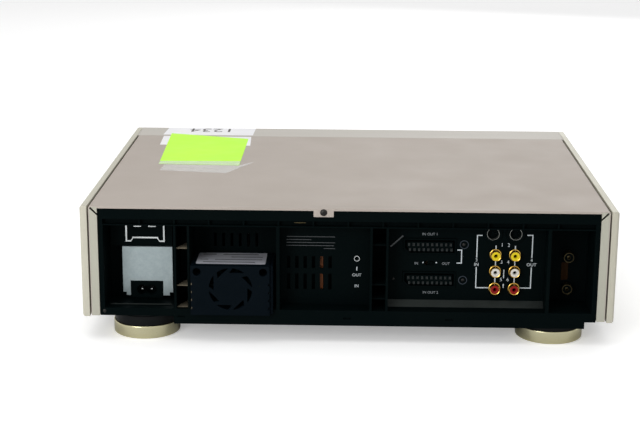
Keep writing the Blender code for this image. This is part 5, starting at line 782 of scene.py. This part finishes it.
bronze = Finish("shield", linear(96, 86, 58), 0.35, 0.9, name="aerial_bronze_finish")
bronze.weather(120, linear(40, 36, 26), 0.6, 1500, 0.01 * MM)
low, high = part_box("aerial_unit")
tuner = carve(copy_of("aerial_unit"), blocks(((low.x - MM, high.x + MM), (AERIAL_WALL, high.y + MM),
                                              (low.z - MM, high.z + MM))))
soften(tuner, 0.3 * MM)
plated = Finish("shield", linear(158, 170, 172), 0.42, 0.55)
plated.weather(160, linear(134, 147, 150), 0.35, 700, 0.02 * MM)
present(tuner, "aerial_unit_case", plated, stands_for=["aerial_unit"])
tip = high.y
root = AERIAL_WALL - 0.5 * MM
barrels = lathes([(3.9 * MM, root), (4.7 * MM, root), *beside(0, tip, AERIAL_RIM)], AERIAL_PLACES, steps=48)
present(barrels, "aerial_barrels", bronze)
insulators = lathes([(0.9 * MM, root), (3.9 * MM, root), *beside(0, tip, AERIAL_CORE)], AERIAL_PLACES,
                    steps=48)
present(insulators, "aerial_insulators", black)
contacts = lathes(beside(0, tip, AERIAL_CONTACT), AERIAL_PLACES, steps=24)
present(contacts, "aerial_contacts", bronze)
washers = lathes(AERIAL_WASHER, AERIAL_PLACES, steps=64)
present(washers, "aerial_washers", black)

# Small rear fittings: four black screws, two of them on round bosses, a ramp at the foot of the
# jack panel, two small cards, a brass strip in the groove, and a black sheet behind the vents that
# is painted shade, standing for the shade inside them.
SHALLOW = 155 * MM
DEEP = 135 * MM
FRAME_FACE = 173.7 * MM
# Each screw's x, z and head radius in millimetres.
REAR_SCREWS = {"socket_screw_upper": (-102.6, 86.9, 1.5), "socket_screw_lower": (-102.4, 54.0, 1.5),
               "panel_screw_small": (-40.7, 54.4, 1.2)}
CORNER_SCREW = mm(215.6, 27)
BOSS_PLACES = [mm(-102.9, 86.9), mm(-102.4, 54)]
BOSS_RADII = mm(3.9, 3.3)
RAMP_LENGTH = mm(-174.6, -35.4)
RAMP_FOOT = mm(160.5, 29.8)
RAMP_HEAD = 35.4 * MM
ORANGE_CARD = (mm(22.2, 25.4), mm(41, 76.5))
ORANGE_DEPTH = mm(150, 150.8)
BROWN_CARD = (mm(-198.5, -192.5), mm(49, 66))
CARD_ROUND = 0.8 * MM
GROOVE_STRIP = (mm(37, 47.3), mm(166, 169), mm(108.4, 109.2))
VENT_SHADE_SHEET = (mm(-18, 59), mm(146.5, 147.5), mm(40, 78))
for name, (x, z, radius) in REAR_SCREWS.items():
    item = domed_screw(mm(x, z), SHALLOW, radius * MM, 0.7 * MM, SHALLOW - 5 * MM)
    present(item, name, black_screw)
sunk = SHALLOW - 0.2 * MM
bosses = lathes(tube(BOSS_RADII[0], sunk, SHALLOW + 0.5 * MM, BOSS_RADII[1]), BOSS_PLACES, steps=48)
present(bosses, "socket_screw_bosses", clip_plastic)
corner_screw = domed_screw(CORNER_SCREW, FRAME_FACE, 1.6 * MM, 0.6 * MM, FRAME_FACE - 3 * MM)
present(corner_screw, "frame_corner_screw", black_screw)
ramp = prism([(sunk, RAMP_FOOT[1]), RAMP_FOOT, (sunk, RAMP_HEAD)], *RAMP_LENGTH, "X")
present(ramp, "jack_bay_ramp", worn_plastic)
card_orange = Finish("brown_board", linear(128, 66, 10), 0.7, name="orange_card_finish")
card_orange.weather(120, linear(84, 42, 8), 0.6, 1200, 0.02 * MM)
card = prism(round_rectangle(*ORANGE_CARD, CARD_ROUND), *ORANGE_DEPTH, "Y")
present(card, "vent_card", card_orange)
card_brown = Finish("brown_board", linear(46, 26, 8), 0.7, name="brown_card_finish", Specular_IOR_Level=0.05)
card_brown.weather(60, linear(40, 26, 12), 0.8, 1200, 0.02 * MM)
card = prism(round_rectangle(*BROWN_CARD, CARD_ROUND), DEEP, DEEP + 0.6 * MM, "Y")
present(card, "aerial_card", card_brown)
present(soften(blocks(GROOVE_STRIP), 0.2 * MM), "groove_strip", bronze)
# A black sheet inside the vents: painted shade for the dark interior.
present(soften(blocks(VENT_SHADE_SHEET), 0.2 * MM), "vent_shade_sheet", black)

# Rear marks: white printed lines round the sockets, with plain numbers and IN and OUT, and
# faint ruled lines. They are silk-screened on the sunk panels, so each is a thin raised
# layer. A slanting rib is moulded beside them.
INK = 0.06 * MM
LINE = 0.9 * MM
LETTER_SCALE = 1.38            # a letter's size in the font for each part of its height
DOT_PLACES = [mm(-66.8, 69.9), mm(-78.6, 69.9)]
DOT_RADIUS = 0.6 * MM
RULES = [(54.7 - width, 54.7) for width in (43, 22, 43, 42)] + [(11.6, 21.6)]
RULE_TOP = 92.7
RULE_STEP = 2.7
RULE_HEIGHT = 0.5
RIB = [(-38.1, 84.7), (-48.3, 94.2)]
PANEL_LINES = {"in_top": [(-118.3, 95.5), (-114.3, 95.5), (-114.3, 75.6)],
               "in_foot": [(-114.2, 65.8), (-114.2, 47.1), (-125.1, 47.1)],
               "out_top": [(-158.8, 96.1), (-163.2, 96.1), (-163.1, 75.8)],
               "out_foot": [(-163, 66), (-162.9, 47.3), (-153.2, 47.3)],
               "socket": [(-97.5, 81.8), (-100.8, 81.8), (-100.8, 69.8), (-97, 69.7)],
               "middle_top": [(-138.7, 63.8), (-138.7, 56.8)],
               "middle_foot": [(-138.7, 50.4), (-138.7, 47.6)],
               "leader": [(-8, 64.6), (-8, 62.1)]}
LINKS = [(x, z0, z1) for x in (-131.1, -148.2) for z0, z1 in ((51, 56.2), (67.2, 71.8), (82.8, 85.8))]
# Each word's centre and height in millimetres, and its ink.
WORDS = [("IN OUT 1", -72.5, 96.0, 2.4, "dim"), ("IN OUT 2", -74.0, 42.0, 2.4, "dim"),
         ("3", -114.2, 72.7, 3.0, "bright"), ("IN", -114.2, 68.6, 3.0, "bright"),
         ("4", -163.0, 72.9, 3.0, "bright"), ("OUT", -163.0, 68.8, 3.0, "bright"),
         ("1   2", -139.4, 86.8, 3.2, "bright"), ("3   4", -139.4, 71.0, 3.2, "bright"),
         ("5   6", -139.4, 54.8, 3.2, "bright"),
         ("IN", -60.8, 69.0, 2.4, "dim"), ("OUT", -87.0, 69.0, 2.4, "dim"),
         ("OUT", -8.0, 57.4, 2.8, "bright"), ("IN", -8.0, 47.2, 2.8, "bright")]
inks = {"bright": Finish("black_plastic", linear(196, 204, 208), 0.6, name="white_ink_finish"),
        "dim": Finish("black_plastic", linear(128, 134, 138), 0.6, name="grey_ink_finish")}
for ink in inks.values():
    ink.weather(300, tuple(0.8 * part for part in ink.colour), 0.5, 4000, 0.005 * MM)


def stroke(points, width, start, end):
    """A printed line through points in millimetres, joined with square corners."""
    bars = []
    for (x0, z0), (x1, z1) in zip(points, points[1:]):
        length = math.hypot(x1 - x0, z1 - z0) * MM
        run = Vector((x1 - x0, z1 - z0)).normalized()
        aside = Vector((-run.y, run.x)) * width / 2
        begin = Vector((x0, z0)) * MM - run * width / 2
        finish = begin + run * (length + width)
        bars.append(prism([tuple(begin + aside), tuple(finish + aside), tuple(finish - aside),
                           tuple(begin - aside)], start, end, "Y"))
    return weld(*bars) if len(bars) > 1 else bars[0]


def lettering(text, height, placing):
    """Letters of a height in millimetres, laid flat about the origin and then placed by a matrix."""
    curve = bpy.data.curves.new(text, "FONT")
    curve.body = text
    curve.size = height * MM * LETTER_SCALE
    curve.extrude = INK / 2
    curve.resolution_u = 3
    curve.align_x = "CENTER"
    curve.align_y = "CENTER"
    source = bpy.data.objects.new(text, curve)
    bpy.context.scene.collection.objects.link(source)
    graph = bpy.context.evaluated_depsgraph_get()
    data = bpy.data.meshes.new_from_object(source.evaluated_get(graph))
    bpy.data.objects.remove(source)
    data.transform(placing)
    item = bpy.data.objects.new(text, data)
    bpy.context.scene.collection.objects.link(item)
    return item


to_rear = Matrix.Rotation(math.pi, 4, "Z") @ Matrix.Rotation(math.pi / 2, 4, "X")
marks = {"line_" + name: points for name, points in PANEL_LINES.items()}
marks.update({"line_link_%d" % index: [(x, z0), (x, z1)] for index, (x, z0, z1) in enumerate(LINKS)})
for name, points in marks.items():
    present(stroke(points, LINE, SHALLOW, SHALLOW + INK), name, inks["bright"])
dots = lathes(tube(DOT_RADIUS, SHALLOW, SHALLOW + INK), DOT_PLACES, steps=20)
present(dots, "switch_dots", inks["bright"])
for index, (text, x, z, height, tone) in enumerate(WORDS):
    place = Matrix.Translation((x * MM, SHALLOW + INK / 2, z * MM))
    present(lettering(text, height, place @ to_rear), "mark_%d" % index, inks[tone])
faint = Finish("black_plastic", linear(64, 68, 70), 0.6, name="faint_ink_finish")
faint.weather(300, linear(44, 48, 50), 0.6, 4000, 0.005 * MM)
rules = []
for index, ends in enumerate(RULES):
    top = RULE_TOP - RULE_STEP * index
    rules.append((mm(*ends), (SHALLOW, SHALLOW + INK), mm(top - RULE_HEIGHT, top)))
present(blocks(*rules), "ruled_lines", faint)
present(stroke(RIB, 1.2 * MM, SHALLOW, SHALLOW + 0.5 * MM), "jack_panel_rib", faint)

# Front controls: a drop-down flap, a hinged door, four buttons with cut symbols, a jog dial
# in a shuttle ring, and a smoked display window. The photograph doesn't show this side.
SYMBOL_DEPTH = 0.25 * MM
SYMBOL_HALF = 2.2 * MM
INLAY_HALF = 2.15 * MM
INLAY_DEPTH = 0.9 * MM
# Outlines in shares of a symbol's half size.
SYMBOLS = {"power": [arc((0, 0), 1, 120, 420, 20) + arc((0, 0), 0.72, 420, 120, 20),
                     [(-0.14, 0), (0.14, 0), (0.14, 1.1), (-0.14, 1.1)]],
           "eject": [[(-1, -0.2), (1, -0.2), (0, 0.9)], [(-1, -0.8), (1, -0.8), (1, -0.45), (-1, -0.45)]],
           "stop": [[(-0.8, -0.8), (0.8, -0.8), (0.8, 0.8), (-0.8, 0.8)]],
           "play": [[(-0.7, -0.9), (0.9, 0), (-0.7, 0.9)]]}
for name in ("cassette_flap", "control_door"):
    present(soften(copy_of(name), 0.3 * MM), name + "_panel", pale, name, [name])
smoked = Finish("window", linear(10, 10, 14), 0.12, Specular_IOR_Level=0.25)
smoked.weather(20, linear(20, 18, 26), 0.4, 900, 0.002 * MM)
pane = soften(copy_of("display_window"), 0.3 * MM)
present(pane, "display_window_pane", smoked, stands_for=["display_window"])


def symbol_cutter(kind, centre, size, depth):
    """The cutter for a button's symbol, from in front of the button's face to below it."""
    x, z = centre
    outlines = [[(x + size * a, z + size * b) for a, b in outline] for outline in SYMBOLS[kind]]
    return prisms(outlines, depth - MM, depth + SYMBOL_DEPTH, "Y")


symbol_ink = Finish("champagne", linear(58, 52, 48), 0.6, name="symbol_ink_finish")
symbol_ink.weather(300, linear(40, 36, 34), 0.5, 4000, 0.005 * MM)
for kind in SYMBOLS:
    low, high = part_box(kind + "_button")
    centre = ((low.x + high.x) / 2, (low.z + high.z) / 2)
    button = soften(copy_of(kind + "_button"), 0.35 * MM)
    carve(button, symbol_cutter(kind, centre, SYMBOL_HALF, low.y))
    present(button, kind + "_button_cap", champagne, kind + "_button", [kind + "_button"])
    inlay = symbol_cutter(kind, centre, INLAY_HALF, low.y + INLAY_DEPTH)
    present(inlay, kind + "_symbol", symbol_ink, kind + "_button")

DIAL_CENTRE = [mm(165, 84)]
DIMPLE_CENTRE = [mm(165, 93.5)]
SPINDLE = 2.5 * MM
DIAL = ((2.5, 7), (18.6, 7), (19, 6.5), (19, 1.2), (18.2, 0), (16.6, 0), (16, 0.4), (0, 0.4))
DIMPLE = ((0, -1), (4.4, -1), (3.8, 0.4), (2.6, 1.4), (0, 1.8))
brushed = Finish("drum", linear(198, 200, 202), 0.26, 1.0, name="dial_finish")
brushed.weather(20, linear(184, 186, 190), 0.2, 1500, 0.01 * MM, (0.8, 1.3))
low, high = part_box("jog_dial")
dial = lathes([(0, high.y), (SPINDLE, high.y), *beside(0, low.y, DIAL)], DIAL_CENTRE, steps=128)
carve(dial, lathes(beside(0, low.y, DIMPLE), DIMPLE_CENTRE, steps=48))
present(dial, "jog_dial_knob", brushed, "jog_dial", ["jog_dial"])
ring = soften(copy_of("shuttle_ring"), 0.4 * MM)
present(ring, "shuttle_ring_rim", champagne, "shuttle_ring", ["shuttle_ring"])

# Paper on the top: a white label in two halves with a plain number, a bare yellow-green note,
# and clear tape over its rear edge. Each is a thin layer in the 0.3 mm that the top lies below
# the cabinet's full height.
label_paper = Finish("champagne", linear(236, 236, 238), 0.7, name="label_paper_finish")
label_paper.weather(30, linear(214, 214, 218), 0.4, 1200, 0.01 * MM)
note_paper = Finish("champagne", linear(196, 255, 74), 0.75, name="note_paper_finish")
note_paper.weather(16, linear(176, 240, 60), 0.5, 1200, 0.01 * MM)
clear_tape = Finish("champagne", linear(240, 239, 236), 0.3, name="clear_tape_finish", Alpha=0.36)
clear_tape.weather(60, linear(222, 220, 216), 0.5, 1200, 0.005 * MM)


def sheet(name, corners, rise, thickness, finish):
    """A thin sheet on the top, from corners in millimetres."""
    item = prism([(x * MM, y * MM) for x, y in corners], TOP + rise * MM, TOP + (rise + thickness) * MM)
    return present(item, name, finish)


sheet("white_label_front", [(103.5, -174.5), (199, -174.5), (201, -137.5), (104.5, -137)],
      0, 0.08, label_paper)
sheet("white_label_rear", [(105.5, -129), (199.5, -129.5), (198, -85), (103.5, -84)],
      0, 0.08, label_paper)
sheet("yellow_note", [(192.8, -143.6), (187.2, 6.3), (107.8, 9.0), (107.8, -118.2)],
      0.1, 0.1, note_paper)
sheet("clear_tape", [(182.9, 33.3), (117.9, 42.9), (93.5, -7.8), (108.1, 8.6), (180.9, 7.8)],
      0.02, 0.06, clear_tape)
sheet("tape_on_note", [(187.6, -6.5), (187.2, 6.2), (107.9, 8.8), (107.8, -9)],
      0.21, 0.05, clear_tape)
place = Matrix.Translation((*mm(150.5, -163), TOP + 0.09 * MM))
present(lettering("1234", 18, place), "label_number", symbol_ink)

# Carried-over nodes: the boards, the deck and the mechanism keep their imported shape,
# and only their surfaces are made here.
finishes = {
    "steel": Finish("steel", linear(172, 174, 172), 0.36, 0.9).weather(
        35, linear(138, 138, 132), 0.5, 900, 0.02 * MM),
    "white_plastic": Finish("white_plastic", linear(216, 212, 200), 0.45).weather(
        60, linear(196, 190, 174), 0.4, 1500, 0.02 * MM),
    "rubber": Finish("rubber", linear(30, 29, 28), 0.85).weather(
        90, linear(48, 46, 44), 0.5, 2500, 0.05 * MM),
    "green_board": Finish("green_board", linear(32, 82, 48), 0.35, Coat_Weight=0.3).weather(
        70, linear(20, 58, 34), 0.6, 900, 0.03 * MM),
    "brown_board": Finish("brown_board", linear(146, 104, 58), 0.5).weather(
        50, linear(112, 76, 40), 0.5, 1200, 0.03 * MM),
    "transformer": Finish("transformer", linear(76, 62, 50), 0.5, 0.3).weather(
        60, linear(48, 40, 34), 0.6, 900, 0.05 * MM, stretch=(1, 1, 12)),
    "black_plastic": black, "champagne": champagne, "champagne_front": pale, "side_panel": side_paint,
    "foot": gold, "screw": black_screw, "window": smoked, "shield": plated, "bright_steel": steel_plate,
    "drum": brushed, "brass": gold_plate}
base_steel = Finish("steel", linear(46, 47, 46), 0.5, 0.7, name="base_plate_finish")
base_steel.weather(35, linear(34, 34, 32), 0.5, 900, 0.02 * MM)
for row in frame["record"]["subparts"]:
    for holder in frame["nodes"][row["node"]].material_slots:
        holder.material = finishes[row["material_slot"]].material
for holder in frame["nodes"]["base_plate"].material_slots:
    holder.material = base_steel.material
